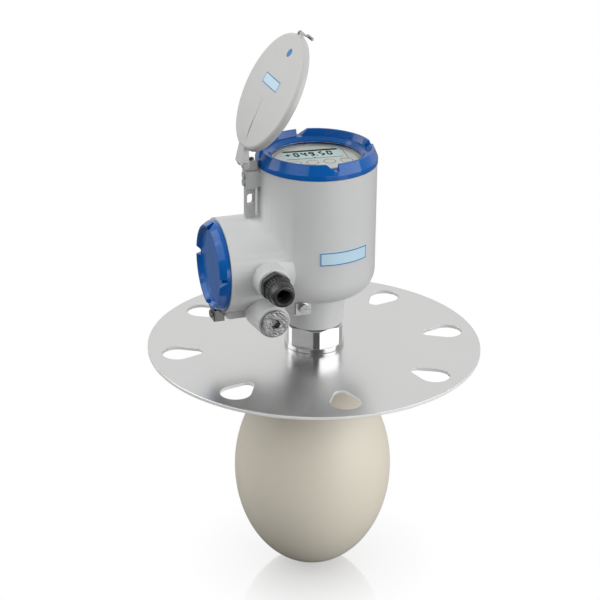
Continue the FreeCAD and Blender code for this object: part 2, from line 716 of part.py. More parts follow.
# Flat gasket between the drop's shoulder and the plate.
node(tube("drop_gasket", D.drop_neck_radius, D.drop_stub_radius + D.thread_gap,
          D.drop_gasket_thickness, z=-D.drop_gasket_thickness))

# Hexagon adaptor: collar, hexagon with turned corners and the stem that carries the housing.
hexagon_foot = D.flange_thickness + D.collar_height
hexagon_top = hexagon_foot + D.hexagon_height
stem_top = hexagon_top + D.stem_height
adaptor = new_body("hex_adaptor")
flats = new_sketch(adaptor, "XY_Plane", lift=hexagon_foot)
hexagon(flats, D.hexagon_flats, D.hexagon_turn)
pad(adaptor, flats, D.hexagon_height)
corner = D.hexagon_flats / (2.0 * cosine(30.0)) + 1.0
bevel = (corner - D.hexagon_turned_radius) / 2.0
grooved(adaptor, [(D.hexagon_turned_radius, hexagon_foot - 1.0), (corner, hexagon_foot - 1.0),
                  (corner, hexagon_top + 1.0), (D.hexagon_turned_radius - bevel * 2.0, hexagon_top + 1.0),
                  (D.hexagon_turned_radius - bevel * 1.4, hexagon_top),
                  (D.hexagon_turned_radius, hexagon_top - bevel * 0.8)])
turned(adaptor, [(0.0, D.flange_thickness), (D.collar_radius, D.flange_thickness),
                 (D.collar_radius, hexagon_foot), (0.0, hexagon_foot)])
rounded(adaptor, D.collar_round, lambda edge: circle_at(D.collar_radius, hexagon_foot)(edge)
        or circle_at(D.collar_radius, D.flange_thickness)(edge))
turned(adaptor, [(0.0, hexagon_foot), (D.stem_radius, hexagon_foot), (D.stem_radius, stem_top),
                 (0.0, stem_top)])
rounded(adaptor, D.slip_gap, circle_at(D.stem_radius, stem_top), kind="PartDesign::Chamfer")
stub_bore_top = stub_top + D.slip_gap
waveguide_seat = D.waveguide_collar_radius - 2.0
grooved(adaptor, [(0.0, D.flange_thickness), (D.drop_stub_radius + D.thread_gap, D.flange_thickness),
                  (D.drop_stub_radius + D.thread_gap, stub_bore_top), (waveguide_seat, stub_bore_top),
                  (waveguide_seat, stem_top), (0.0, stem_top)])
seal_middle = hexagon_top + D.stem_seal_height
seal_floor = D.stem_radius - 2.0 * D.stem_seal_section - D.thread_gap
grooved(adaptor, [(seal_floor, seal_middle - 1.3 * D.stem_seal_section),
                  (D.stem_radius + 1.0, seal_middle - 1.3 * D.stem_seal_section),
                  (D.stem_radius + 1.0, seal_middle + 1.3 * D.stem_seal_section),
                  (seal_floor, seal_middle + 1.3 * D.stem_seal_section)])
washer_foot = D.well_floor + D.slip_gap
washer_top = washer_foot + 1.0
circlip_top = washer_top + D.circlip_thickness
grooved(adaptor, [(D.stem_radius - D.circlip_bite, washer_top), (D.stem_radius + 1.0, washer_top),
                  (D.stem_radius + 1.0, circlip_top), (D.stem_radius - D.circlip_bite, circlip_top)])

o_ring("stem_seal", D.stem_radius - D.stem_seal_section, D.stem_seal_section, z=seal_middle)
node(tube("thrust_washer", D.well_radius - 2.0 * D.slip_gap, D.stem_radius + D.running_gap,
          washer_top - washer_foot, z=washer_foot))
circlip = new_body("retaining_ring", z=washer_top, axis=Z_AXIS, angle=D.circlip_opening / 2.0)
turned(circlip, [(D.stem_radius - D.circlip_bite, 0.0),
                 (D.stem_radius - D.circlip_bite + D.circlip_width, 0.0),
                 (D.stem_radius - D.circlip_bite + D.circlip_width, D.circlip_thickness),
                 (D.stem_radius - D.circlip_bite, D.circlip_thickness)],
       sweep=FULL_TURN - D.circlip_opening)

# Waveguide tube through the stem, with a shoulder, and the dielectric cone below it.
waveguide = new_body("waveguide_tube")
shoulder = waveguide_seat - D.running_gap
turned(waveguide, [(D.waveguide_bore, -D.waveguide_depth), (D.waveguide_radius, -D.waveguide_depth),
                   (D.waveguide_radius, stub_bore_top), (shoulder, stub_bore_top),
                   (shoulder, stub_bore_top + 4.0), (D.waveguide_radius, stub_bore_top + 4.0),
                   (D.waveguide_radius, D.waveguide_top), (D.waveguide_bore, D.waveguide_top)])
feed = new_body("feed_cone", z=-D.waveguide_depth)
plug_fit = D.waveguide_bore - D.running_gap
turned(feed, [(0.0, 2.0 - D.feed_cone_length), (0.8, 2.0 - D.feed_cone_length),
              (D.waveguide_radius, -8.0), (D.waveguide_radius, 0.0), (plug_fit, 0.0),
              (plug_fit, D.feed_plug_length), (0.8, D.feed_needle_length), (0.0, D.feed_needle_length)])

# Housing: one casting with the main compartment, the side compartment and its entries.
neck_foot = hexagon_top + D.slip_gap
housing = new_body("housing")
bowl_arc = D.bowl_radius - D.neck_head_radius - 2.6
turned(housing, [(0.0, neck_foot), (D.neck_foot_radius, neck_foot),
                 (D.neck_head_radius, D.bowl_bottom), (D.bowl_radius - bowl_arc, D.bowl_bottom),
                 (D.bowl_radius, D.bowl_bottom + bowl_arc, D.bowl_radius - bowl_arc,
                  D.bowl_bottom + bowl_arc),
                 (D.bowl_radius, D.bowl_top), (0.0, D.bowl_top)])
rounded(housing, 2.2, circle_at(D.neck_head_radius, D.bowl_bottom))
rounded(housing, 1.0, circle_at(D.neck_foot_radius, neck_foot))
arm_root = D.well_radius - 1.0
arm = new_sketch(housing, "YZ_Plane", lift=-arm_end)
ring(arm, 0.0, D.arm_height, D.arm_radius)
pad(housing, arm, arm_end - arm_root)
keel = new_sketch(housing, "XY_Plane", lift=keel_bottom)
rectangle(keel, -keel_front, -(entry_offset - 6.0), -D.keel_half_width, D.keel_half_width)
pad(housing, keel, D.arm_radius / 2.0)
rounded(housing, 4.0, lambda edge: edge.BoundBox.XMax < -float(keel_front) + 0.01
        and edge.BoundBox.ZMin < float(keel_bottom) + 0.01 and edge.BoundBox.ZLength > 1.0)
rounded(housing, 2.4, lambda edge: edge.BoundBox.ZMax < float(keel_bottom) + 0.01
        and edge.BoundBox.XMin > -float(keel_front) - 0.01)
boss_taper = 5.3
for height in (upper_entry_height, lower_entry_height):
    boss = new_sketch(housing, "XZ_Plane", lift=entry_face)
    ring(boss, -entry_offset, height, D.entry_boss_radius)
    pad(housing, boss, D.boss_length, flip=True, taper=boss_taper)
rounded(housing, 1.0, lambda edge: edge.BoundBox.YMax < -float(entry_face) + 0.01)
earth_pad = new_sketch(housing, "XZ_Plane", lift=D.pad_face)
rectangle(earth_pad, -D.pad_left, -D.pad_right, pad_bottom, pad_top)
pad(housing, earth_pad, D.pad_depth, flip=True)
hinge_boss = new_sketch(housing, "XZ_Plane")
rectangle(hinge_boss, -(bracket_inner - 0.2), -(D.bowl_radius - 3.0), bracket_step + 1.0,
          bracket_top - 2.0)
pad(housing, hinge_boss, 2.0 * (D.bracket_half_width - 1.0), both=True)

thread_floor = D.bowl_top - D.cap_spigot_length - 1.0
grooved(housing, [(0.0, neck_foot), (D.stem_radius + D.running_gap, neck_foot),
                  (D.stem_radius + D.running_gap, D.well_floor), (D.well_radius, D.well_floor),
                  (D.well_radius, D.bowl_bottom + D.floor_thickness),
                  (bowl_bore - D.ledge_width, D.bowl_bottom + D.floor_thickness),
                  (bowl_bore - D.ledge_width, D.ledge_height), (bowl_bore, D.ledge_height),
                  (bowl_bore, thread_floor), (cap_spigot_radius + D.thread_gap, thread_floor),
                  (cap_spigot_radius + D.thread_gap, D.bowl_top), (0.0, D.bowl_top)])
for radius, depth in ((arm_bore, arm_end - arm_floor),
                      (side_cap_spigot_radius + D.thread_gap, D.side_cap_spigot_length + 1.0)):
    bore = new_sketch(housing, "YZ_Plane", lift=-arm_end)
    ring(bore, 0.0, D.arm_height, radius)
    pocket(housing, bore, depth)
for height, depth in ((upper_entry_height, D.upper_entry_depth),
                      (lower_entry_height, D.lower_entry_depth)):
    entry = new_sketch(housing, "XZ_Plane", lift=entry_face)
    ring(entry, -entry_offset, height, D.entry_radius)
    pocket(housing, entry, depth)
passage = new_sketch(housing, "YZ_Plane", lift=-arm_floor)
ring(passage, 0.0, feedthrough_height, D.feedthrough_radius)
pocket(housing, passage, D.partition_wall + D.feedthrough_radius)
bracket_screw_heights = (bracket_top - 5.0, bracket_step + 4.2)
for height in bracket_screw_heights:
    tapped = new_sketch(housing, "YZ_Plane", lift=-bracket_inner)
    ring(tapped, 0.0, height, D.bracket_screw_radius)
    pocket(housing, tapped, D.screw_bite)
earth_x = -(D.pad_left + D.pad_right) / 2.0
earth_hole = new_sketch(housing, "XZ_Plane", lift=D.pad_face)
ring(earth_hole, earth_x, earth_height, D.earth_shank_radius)
pocket(housing, earth_hole, 8.0)
ledge_screw_reach = bowl_bore - D.ledge_width / 2.0
ledge_screw_radius = 1.1
ledge_hole = new_sketch(housing, "XY_Plane", lift=D.ledge_height)
ring(ledge_hole, 0.0, ledge_screw_reach, ledge_screw_radius)
repeated(housing, [pocket(housing, ledge_hole, 5.0)], 3)
lock_hole_height = (lock_bottom + lock_top) / 2.0 + 1.4
lock_hole = new_sketch(housing, "YZ_Plane", lift=-keel_front)
ring(lock_hole, 0.0, lock_hole_height, D.lock_screw_radius)
pocket(housing, lock_hole, 9.0)

# Name plate on the front of the bowl, left bare.
label = new_body("name_plate", z=D.label_bottom, axis=Z_AXIS, angle=D.label_angle - D.label_spread / 2.0)
label_back = D.bowl_radius + D.label_glue
label_face = label_back + D.label_thickness
turned(label, [(label_back, 0.0), (label_face, 0.0), (label_face, D.label_height),
               (label_back, D.label_height)], sweep=D.label_spread)


def grip_notches(part, crest_radius, crest_height, reach, count):
    """Notches through a cap's rim, each with a steep wall, a floor and a sloping side."""
    floor = crest_height - D.notch_floor_drop
    wall = D.notch_wall_angle + 90.0
    foot = wall - D.notch_floor_angle
    top = foot - D.notch_ramp_angle
    sketch = new_sketch(part, "XZ_Plane", lift=reach)
    outline(sketch, [(crest_radius * sine(top), crest_height + 1.0),
                     (crest_radius * sine(foot), floor), (crest_radius * sine(wall), floor),
                     (crest_radius * sine(wall), crest_height + 1.0)])
    before = part.Tip.Shape.Volume
    feature = part.newObject("PartDesign::Pocket", part.Name + "_notch")
    feature.Profile = sketch
    bind(feature, "Length", D.cap_spigot_length)
    feature.Reversed = True
    sketch.Visibility = False
    doc.recompute()
    if before - feature.Shape.Volume < 0.05:
        raise RuntimeError("%s removes nothing" % feature.Name)
    repeated(part, [feature], count)


# Display cap: a threaded ring with a stepped rim that frames the window.
cap = new_body("display_cap", z=D.bowl_top)
cap_foot = D.cap_seat_gap
crest = cap_foot + D.cap_height
step = crest - D.cap_step_drop
window_face = crest - D.window_recess
window_top = window_face - 0.5
window_seat = D.window_radius + D.window_lap + D.running_gap
spigot_foot = cap_foot - D.cap_spigot_length
groove_height = -2.6
groove_half = 1.25 * D.seal_section
groove_floor = cap_spigot_radius - 2.0 * D.seal_section - D.running_gap
turned(cap, [(cap_spigot_radius, spigot_foot), (cap_spigot_radius, groove_height - groove_half),
             (groove_floor, groove_height - groove_half), (groove_floor, groove_height + groove_half),
             (cap_spigot_radius, groove_height + groove_half), (cap_spigot_radius, cap_foot),
             (cap_radius, cap_foot), (cap_radius, cap_foot + D.cap_side_height),
             (cap_crest_radius + D.cap_crest_half, crest),
             (cap_crest_radius - D.cap_crest_half, crest), (cap_step_radius + 0.9, step),
             (cap_step_radius - 2.4, step), (D.window_radius, window_face + 1.0),
             (D.window_radius, window_face), (window_seat, window_face), (window_seat, spigot_foot)])
rounded(cap, 1.6, circle_at(cap_radius, cap_foot + D.cap_side_height))
rounded(cap, 0.6, lambda edge: circle_at(cap_crest_radius + D.cap_crest_half, crest)(edge)
        or circle_at(cap_crest_radius - D.cap_crest_half, crest)(edge))
rounded(cap, 0.5, circle_at(cap_radius, cap_foot))
grip_notches(cap, cap_crest_radius, crest, cap_step_radius + 0.4, D.notch_count)
o_ring("display_cap_seal", cap_spigot_radius - D.seal_section, D.seal_section,
       z=D.bowl_top + groove_height)

# Window: gasket, glass and the threaded ring that holds them in the cap.
glass_radius = D.window_radius + D.window_lap
node(tube("window_gasket", glass_radius, D.window_radius + 0.6, window_face - window_top,
          z=D.bowl_top + window_top))
node(cylinder("window_glass", glass_radius, D.window_thickness,
              z=D.bowl_top + window_top - D.window_thickness))
ring_top = window_top - D.window_thickness
window_ring = new_body("window_ring", z=D.bowl_top + ring_top - D.window_ring_height)
turned(window_ring, [(glass_radius - D.window_ring_width, 0.0), (glass_radius, 0.0),
                     (glass_radius, D.window_ring_height),
                     (glass_radius - D.window_ring_width, D.window_ring_height)])
spanner_notch = new_sketch(window_ring, "XZ_Plane")
rectangle(spanner_notch, -1.5, 1.5, 0.0, 1.4)
pocket(window_ring, spanner_notch, 2.0 * glass_radius + 2.0, both=True)

# Side cap: a blind cap with the same rim, turned to face along -X.
side_cap = new_body("side_cap", x=-arm_end, z=D.arm_height, axis=Y_AXIS, angle=-90.0)
side_crest = cap_foot + D.side_cap_length
side_face = side_crest - D.side_cap_face_drop
side_groove = -2.4
side_floor = side_cap_spigot_radius - 2.0 * D.seal_section - D.running_gap
side_spigot_foot = cap_foot - D.side_cap_spigot_length
side_hollow = side_cap_spigot_radius - 4.3
turned(side_cap, [(0.0, side_face - D.side_cap_wall), (side_hollow, side_face - D.side_cap_wall),
                  (side_hollow, side_spigot_foot), (side_cap_spigot_radius, side_spigot_foot),
                  (side_cap_spigot_radius, side_groove - groove_half),
                  (side_floor, side_groove - groove_half), (side_floor, side_groove + groove_half),
                  (side_cap_spigot_radius, side_groove + groove_half),
                  (side_cap_spigot_radius, cap_foot), (side_cap_radius, cap_foot),
                  (side_cap_radius, cap_foot + D.side_cap_side),
                  (side_cap_crest_radius + D.cap_crest_half, side_crest),
                  (side_cap_crest_radius - D.cap_crest_half, side_crest),
                  (side_cap_face_radius + 1.0, side_face), (0.0, side_face)])
rounded(side_cap, 1.6, circle_at(side_cap_radius, cap_foot + D.side_cap_side))
rounded(side_cap, 0.6, lambda edge: circle_at(side_cap_crest_radius + D.cap_crest_half, side_crest)(edge)
        or circle_at(side_cap_crest_radius - D.cap_crest_half, side_crest)(edge))
grip_notches(side_cap, side_cap_crest_radius, side_crest, side_cap_face_radius + 1.4,
             D.notch_count)
o_ring("side_cap_seal", side_cap_spigot_radius - D.seal_section, D.seal_section,
       x=-(arm_end - (-side_groove)), z=D.arm_height, axis=Y_AXIS, angle=-90.0)

# Electronics in the main compartment.
mount_plate_top = D.ledge_height + D.mount_plate_thickness
mount_plate = new_body("electronics_plate", z=D.ledge_height)
disc = new_sketch(mount_plate, "XY_Plane")
ring(disc, 0.0, 0.0, mount_plate_radius)
pad(mount_plate, disc, D.mount_plate_thickness)
screw_hole = new_sketch(mount_plate, "XY_Plane", lift=D.mount_plate_thickness)
ring(screw_hole, 0.0, ledge_screw_reach, ledge_screw_radius + D.thread_gap)
repeated(mount_plate, [pocket(mount_plate, screw_hole, D.mount_plate_thickness)], 3)


def cap_screws(name, places, head_radius, head_height, shank_radius, shank_length, **turn):
    """Fillister screws with slotted heads, all in one node."""
    screws = []
    for number, (x, y, z) in enumerate(places):
        head = cylinder("%s_head%d" % (name, number), head_radius, head_height)
        shank = cylinder("%s_shank%d" % (name, number), shank_radius, shank_length + 0.5,
                         z=-shank_length)
        slit = block("%s_slit%d" % (name, number), 2.0 * head_radius + 1.0, 0.25 * head_radius,
                     head_height, z=0.55 * head_height)
        screw = less("%s_screw%d" % (name, number),
                     joined("%s_bar%d" % (name, number), [head, shank]), slit)
        place(screw, x=x, y=y, z=z, **turn)
        screws.append(screw)
    return grouped(name, screws)


screw_angles = [90.0 + FULL_TURN / 3.0 * index for index in range(3)]
cap_screws("electronics_screws",
           [(ledge_screw_reach * cosine(angle), ledge_screw_reach * sine(angle), mount_plate_top)
            for angle in screw_angles], 1.7, 1.3, ledge_screw_radius, 5.5)
radar_foot = D.waveguide_top + D.slip_gap
node(block("radar_module", D.radar_side, D.radar_side, D.ledge_height - radar_foot, z=radar_foot))
can_top = mount_plate_top + D.module_height
node(cylinder("electronics_can", D.module_radius, D.module_height, z=mount_plate_top))
plate_top = D.bowl_top + window_top - D.window_thickness - D.plate_gap
plate_foot = plate_top - D.plate_thickness
screen_foot = plate_top + D.screen_proud - D.screen_thickness
carrier = less("display_carrier", cylinder("carrier_drum", D.module_radius, plate_foot - can_top,
                                           z=can_top),
               block("carrier_recess", D.screen_length, D.screen_width, plate_foot - screen_foot + 1.0,
                     y=D.screen_offset, z=screen_foot))
node(carrier)
node(less("display_plate", cylinder("plate_disc", D.plate_radius, D.plate_thickness, z=plate_foot),
          block("plate_window", D.screen_length, D.screen_width, D.plate_thickness + 1.0,
                y=D.screen_offset, z=plate_foot - 0.5)))
node(block("lcd_module", D.screen_length, D.screen_width, D.screen_thickness, y=D.screen_offset,
           z=screen_foot))
keys = []
for index in range(int(float(D.key_count))):
    key_x = D.key_centre + D.key_pitch * (index - (float(D.key_count) - 1.0) / 2.0)
    half = (D.key_length - D.key_width) / 2.0
    middle = block("key_middle%d" % index, 2.0 * half, D.key_width, D.key_height, x=key_x,
                   y=D.key_offset, z=plate_top)
    ends = [cylinder("key_end%d_%d" % (index, side), D.key_width / 2.0, D.key_height,
                     x=key_x + half * (2.0 * side - 1.0), y=D.key_offset, z=plate_top)
            for side in range(2)]
    keys.append(joined("key_pad%d" % index, [middle] + ends))
grouped("display_keys", keys)

# Terminals in the side compartment, which lies along X.
node(cylinder("wire_feedthrough", D.feedthrough_radius - D.running_gap, arm_floor - bowl_bore - 0.2,
              x=-(arm_floor - 0.1), z=feedthrough_height, axis=Y_AXIS, angle=90.0))
inner_earth_y = D.terminal_length / 2.0 + 3.5
inner_earth_z = D.arm_height - 12.0
board_holes = [cylinder(name, radius, D.board_thickness + 1.0, x=-(arm_floor - 0.5), y=y, z=z,
                        axis=Y_AXIS, angle=-90.0)
               for name, radius, y, z in (
                   ("board_passage", D.feedthrough_radius, 0.0, feedthrough_height),
                   ("board_screw_hole", D.inner_earth_shank + D.thread_gap, inner_earth_y,
                    inner_earth_z))]
node(less("terminal_board",
          cylinder("board_disc", D.board_radius, D.board_thickness, x=-arm_floor,
                   z=D.arm_height, axis=Y_AXIS, angle=-90.0),
          joined("board_holes", board_holes)))
block_face = arm_floor + D.board_thickness + D.terminal_depth
terminal_low = D.arm_height - D.terminal_height / 2.0
terminal = block("terminal_housing", D.terminal_depth, D.terminal_length, D.terminal_height,
                 x=-(block_face - D.terminal_depth / 2.0), z=terminal_low)
pitch = D.terminal_length / D.terminal_count
wells = []
places = []
for index in range(int(float(D.terminal_count))):
    across = pitch * (index - (float(D.terminal_count) - 1.0) / 2.0)
    wells.append(cylinder("screw_well%d" % index, D.terminal_screw_radius + 0.3, 5.0,
                          x=-(block_face - 4.0), y=across, z=D.arm_height + 4.0, axis=Y_AXIS,
                          angle=-90.0))
    wells.append(block("wire_mouth%d" % index, 10.0, pitch * 0.55, 5.0,
                       x=-(block_face - 4.0), y=across, z=terminal_low + 2.0))
    places.append((-(block_face - 4.0 + 1.5), across, D.arm_height + 4.0))
node(less("terminal_block", terminal, joined("terminal_openings", wells)))
cap_screws("terminal_screws", places, D.terminal_screw_radius, 1.5, 1.2, 1.5, axis=Y_AXIS, angle=-90.0)
cap_screws("inner_earth_screw",
           [(-(arm_floor + D.board_thickness), inner_earth_y, inner_earth_z)], 3.0, 2.4,
           D.inner_earth_shank, D.board_thickness, axis=Y_AXIS, angle=-90.0)

# Cap lock under the side cap, held by a screw in the keel.
lock = new_body("cap_lock")
hook = new_sketch(lock, "XZ_Plane")
lock_end = keel_front + D.lock_length
outline(hook, [(-keel_front, lock_bottom), (-keel_front, lock_top),
               (-(arm_end + 0.9), lock_top), (-(arm_end + 0.9), lock_top + 1.7),
               (-lock_end, lock_top + 1.7), (-lock_end, lock_bottom)])
pad(lock, hook, 2.0 * D.lock_half_width, both=True)
rounded(lock, 1.2, lambda edge: edge.BoundBox.XMax < -float(lock_end) + 0.01
        and edge.BoundBox.ZLength > 1.0)
lock_bore = new_sketch(lock, "YZ_Plane", lift=-lock_end)
ring(lock_bore, 0.0, lock_hole_height, D.lock_screw_radius + D.thread_gap)
pocket(lock, lock_bore, D.lock_length)
cap_screws("cap_lock_screw", [(-lock_end, 0.0, lock_hole_height)], 3.4, 1.8, D.lock_screw_radius,
           D.lock_length + 8.0, axis=Y_AXIS, angle=-90.0)

# Cable gland in the upper entry: each piece stands on the boss with its axis along -Y.
GLAND = dict(axis=X_AXIS, angle=90.0, x=-entry_offset, z=upper_entry_height)
spigot = D.entry_radius - D.running_gap
node(tube("gland_washer", D.entry_boss_radius - 1.2, D.entry_radius, D.gland_washer_thickness,
          y=-entry_face, **GLAND))
gland = new_body("gland_body", y=-entry_face, **GLAND)
gland_foot = D.gland_washer_thickness
gland_shoulder = gland_foot + D.gland_hexagon_length
stud_end = gland_shoulder + D.gland_stud_length
gland_flats = new_sketch(gland, "XY_Plane", lift=gland_foot)
hexagon(gland_flats, D.gland_flats, 30.0)
pad(gland, gland_flats, D.gland_hexagon_length)
gland_corner = D.gland_flats / (2.0 * cosine(30.0))
grooved(gland, [(gland_corner - 1.2, gland_foot - 1.0), (gland_corner + 1.0, gland_foot - 1.0),
                (gland_corner + 1.0, gland_shoulder + 1.0),
                (gland_corner - 2.4, gland_shoulder + 1.0), (gland_corner - 1.4, gland_shoulder),
                (gland_corner - 0.6, gland_shoulder - 0.6), (gland_corner - 0.6, gland_foot)])
turned(gland, [(0.0, -D.gland_spigot_length), (spigot, -D.gland_spigot_length),
               (spigot, gland_foot + 1.0), (0.0, gland_foot + 1.0)])
turned(gland, [(0.0, gland_shoulder - 1.0), (D.gland_stud_radius, gland_shoulder - 1.0),
               (D.gland_stud_radius, stud_end), (0.0, stud_end)])
cable_bore = D.gland_mouth_radius + 0.2
seal_seat = D.gland_stud_radius - 1.4
seat_foot = gland_shoulder + 1.2
grooved(gland, [(0.0, -D.gland_spigot_length), (cable_bore, -D.gland_spigot_length),
                (cable_bore, seat_foot), (seal_seat, seat_foot), (seal_seat, stud_end),
                (0.0, stud_end)])
seal_end = stud_end + 1.6
insert = new_body("gland_seal", y=-entry_face, **GLAND)
turned(insert, [(4.2, seat_foot), (seal_seat - D.running_gap, seat_foot),
                (seal_seat - D.running_gap, stud_end), (seal_seat - 0.9, seal_end), (4.2, seal_end)])
pressure_foot = seal_end + 0.2
node(tube("pressure_ring", seal_seat - 0.2, 5.0, 1.0, y=-(entry_face + pressure_foot), **GLAND))
nut = new_body("gland_nut", y=-entry_face, **GLAND)
nut_foot = gland_shoulder + 0.5
nut_side = nut_foot + D.gland_nut_side
nut_end = nut_foot + D.gland_nut_length
nut_sides = new_sketch(nut, "XY_Plane", lift=nut_foot)
nut_flats = D.gland_flats - 2.0
hexagon(nut_sides, nut_flats, 30.0)
pad(nut, nut_sides, D.gland_nut_side)
nut_corner = nut_flats / (2.0 * cosine(30.0))
grooved(nut, [(nut_corner - 0.5, nut_foot - 1.0), (nut_corner + 1.0, nut_foot - 1.0),
              (nut_corner + 1.0, nut_side + 1.0), (nut_corner - 2.2, nut_side + 1.0),
              (nut_corner - 1.2, nut_side), (nut_corner - 0.5, nut_side - 0.6)])
dome_radius = nut_flats / 2.0 - 0.3
turned(nut, [(0.0, nut_side - 1.0), (dome_radius, nut_side - 1.0), (dome_radius, nut_end - 5.0),
             (D.gland_nose_radius, nut_end - 1.6), (D.gland_nose_radius - 0.6, nut_end), (0.0, nut_end)])
pressure_seat = D.gland_stud_radius + D.thread_gap
ring_space = pressure_foot + 1.2
grooved(nut, [(0.0, nut_foot), (pressure_seat, nut_foot), (pressure_seat, ring_space),
              (D.gland_mouth_radius, ring_space + 3.4), (D.gland_mouth_radius, nut_end),
              (0.0, nut_end)])
rib_gap = new_sketch(nut, "XY_Plane", lift=nut_side)
ring(rib_gap, dome_radius + 0.35, 0.0, 0.85)
repeated(nut, [pocket(nut, rib_gap, D.gland_nut_length)], D.gland_rib_count)

# Blanking plug in the lower entry.
LOWER = dict(axis=X_AXIS, angle=90.0, x=-entry_offset, z=lower_entry_height)
node(tube("plug_washer", D.entry_boss_radius - 1.0, D.entry_radius, D.plug_washer_thickness,
          y=-entry_face, **LOWER))
plug = new_body("blanking_plug", y=-entry_face, **LOWER)
plug_top = D.plug_washer_thickness + D.plug_head_height
turned(plug, [(0.0, -D.plug_spigot_length), (spigot, -D.plug_spigot_length),
              (spigot, D.plug_washer_thickness), (D.plug_head_radius, D.plug_washer_thickness),
              (D.plug_head_radius, plug_top), (0.0, plug_top)])
rounded(plug, 0.8, circle_at(D.plug_head_radius, plug_top))
socket = new_sketch(plug, "XY_Plane", lift=plug_top)
hexagon(socket, D.plug_socket_flats + 2.0, 0.0)
pocket(plug, socket, 6.0)

# Earth terminal on the neck: clamp plate, washer and screw, facing -Y.
pad_plate = new_body("earth_clamp")
face = new_sketch(pad_plate, "XZ_Plane", lift=D.pad_face)
rectangle(face, earth_x - D.earth_plate_length / 2.0, earth_x + D.earth_plate_length / 2.0,
          pad_bottom + 1.1, D.bowl_bottom - D.slip_gap)
pad(pad_plate, face, D.earth_plate_thickness)
clamp_face = D.pad_face + D.earth_plate_thickness
clamp_hole = new_sketch(pad_plate, "XZ_Plane", lift=clamp_face)
ring(clamp_hole, earth_x, earth_height, D.earth_shank_radius + D.thread_gap)
pocket(pad_plate, clamp_hole, D.earth_plate_thickness)
rounded(pad_plate, 1.0, lambda edge: edge.BoundBox.YLength > float(D.earth_plate_thickness) - 0.01
        and edge.BoundBox.XLength < 0.01 and edge.BoundBox.ZLength < 0.01)
EARTH = dict(axis=X_AXIS, angle=90.0, x=earth_x, z=earth_height)
node(tube("earth_washer", D.earth_washer_radius, D.earth_shank_radius + D.thread_gap,
          D.earth_washer_thickness, y=-clamp_face, **EARTH))
cap_screws("earth_screw", [(earth_x, -(clamp_face + D.earth_washer_thickness), earth_height)],
           D.earth_head_radius, D.earth_head_height, D.earth_shank_radius, 10.0,
           axis=X_AXIS, angle=90.0)

# Hinge bracket on the bowl: a block under the hinge and a slotted tab down to the arm.
bracket = new_body("hinge_bracket")
side = new_sketch(bracket, "XZ_Plane")
rectangle(side, -bracket_outer, -bracket_inner, bracket_step, bracket_top)
pad(bracket, side, 2.0 * D.bracket_half_width, both=True)
rounded(bracket, 1.2, lambda edge: edge.BoundBox.XMax < -float(bracket_outer) + 0.01
        and edge.BoundBox.ZLength > 1.0)
tab = new_sketch(bracket, "XZ_Plane")
tab_foot = D.arm_height + D.arm_radius
rectangle(tab, -tab_outer + 0.6, -tab_inner, tab_foot, bracket_step + 1.0)
pad(bracket, tab, 2.0 * D.tab_half_width, both=True)
rounded(bracket, 3.0, lambda edge: edge.BoundBox.ZMax < float(tab_foot) + 0.01
        and edge.BoundBox.XMin > -float(tab_inner) - 0.01)
opening = new_sketch(bracket, "XZ_Plane")
rectangle(opening, -tab_slot_left, -tab_slot_right, tab_slot_bottom, tab_slot_top)
pocket(bracket, opening, 2.0 * D.tab_half_width + 1.0, both=True)
rounded(bracket, 2.6, lambda edge: edge.BoundBox.XLength < 0.01 and edge.BoundBox.ZLength < 0.01
        and edge.BoundBox.ZMax < float(tab_slot_top) + 0.01
        and edge.BoundBox.ZMin > float(tab_slot_bottom) - 0.01)
for height in bracket_screw_heights:
    through = new_sketch(bracket, "YZ_Plane", lift=-bracket_outer)
    ring(through, 0.0, height, D.bracket_screw_radius + D.thread_gap)
    pocket(bracket, through, bracket_outer - bracket_inner)
cap_screws("bracket_screws", [(-bracket_outer, 0.0, height) for height in bracket_screw_heights],
           3.1, 1.6, D.bracket_screw_radius, bracket_outer - bracket_inner + D.screw_bite,
           axis=Y_AXIS, angle=-90.0)

# Hinge leaf: a folded channel on the bracket that carries the pin.
leaf = new_body("hinge_leaf")
leaf_side = new_sketch(leaf, "XZ_Plane")
leaf_inner = bracket_inner + 0.4
outline(leaf_side, [(-bracket_outer, bracket_top), (-leaf_inner, bracket_top),
                    (-leaf_inner, leaf_top), (-(pin_reach - 1.5), pin_height + 3.0),
                    (-(pin_reach - 0.6), pin_height)])
pad(leaf, leaf_side, 2.0 * D.leaf_half_width, both=True)
rounded(leaf, 1.6, lambda edge: edge.BoundBox.XMin > -float(leaf_inner) - 0.01
        and edge.BoundBox.ZMin > float(leaf_top) - 0.01)
barrel = new_sketch(leaf, "XZ_Plane")
ring(barrel, -pin_reach, pin_height, D.leaf_round - 0.4)
pad(leaf, barrel, 2.0 * D.leaf_half_width, both=True)
fold = new_sketch(leaf, "XZ_Plane")
rectangle(fold, -(pin_reach + 10.0), -(bracket_inner - 4.0), bracket_top + D.leaf_sheet,
          leaf_top + 4.0)
pocket(leaf, fold, 2.0 * (D.leaf_half_width - D.leaf_sheet), both=True)
pin_hole = new_sketch(leaf, "XZ_Plane")
ring(pin_hole, -pin_reach, pin_height, D.pin_radius)
pocket(leaf, pin_hole, 4.0 * D.leaf_half_width, both=True)

# Hinge pin with a head at each end.
pin = new_body("hinge_pin", x=-pin_reach, y=-(D.arm_half_width + 0.2), z=pin_height,
               axis=X_AXIS, angle=-90.0)
pin_length = 2.0 * (D.arm_half_width + 0.2)
turned(pin, [(0.0, -D.pin_head_height), (D.pin_head_radius, -D.pin_head_height),
             (D.pin_head_radius, 0.0), (D.pin_radius, 0.0), (D.pin_radius, pin_length),
             (D.pin_head_radius, pin_length), (D.pin_head_radius, pin_length + D.pin_head_height),
             (0.0, pin_length + D.pin_head_height)])

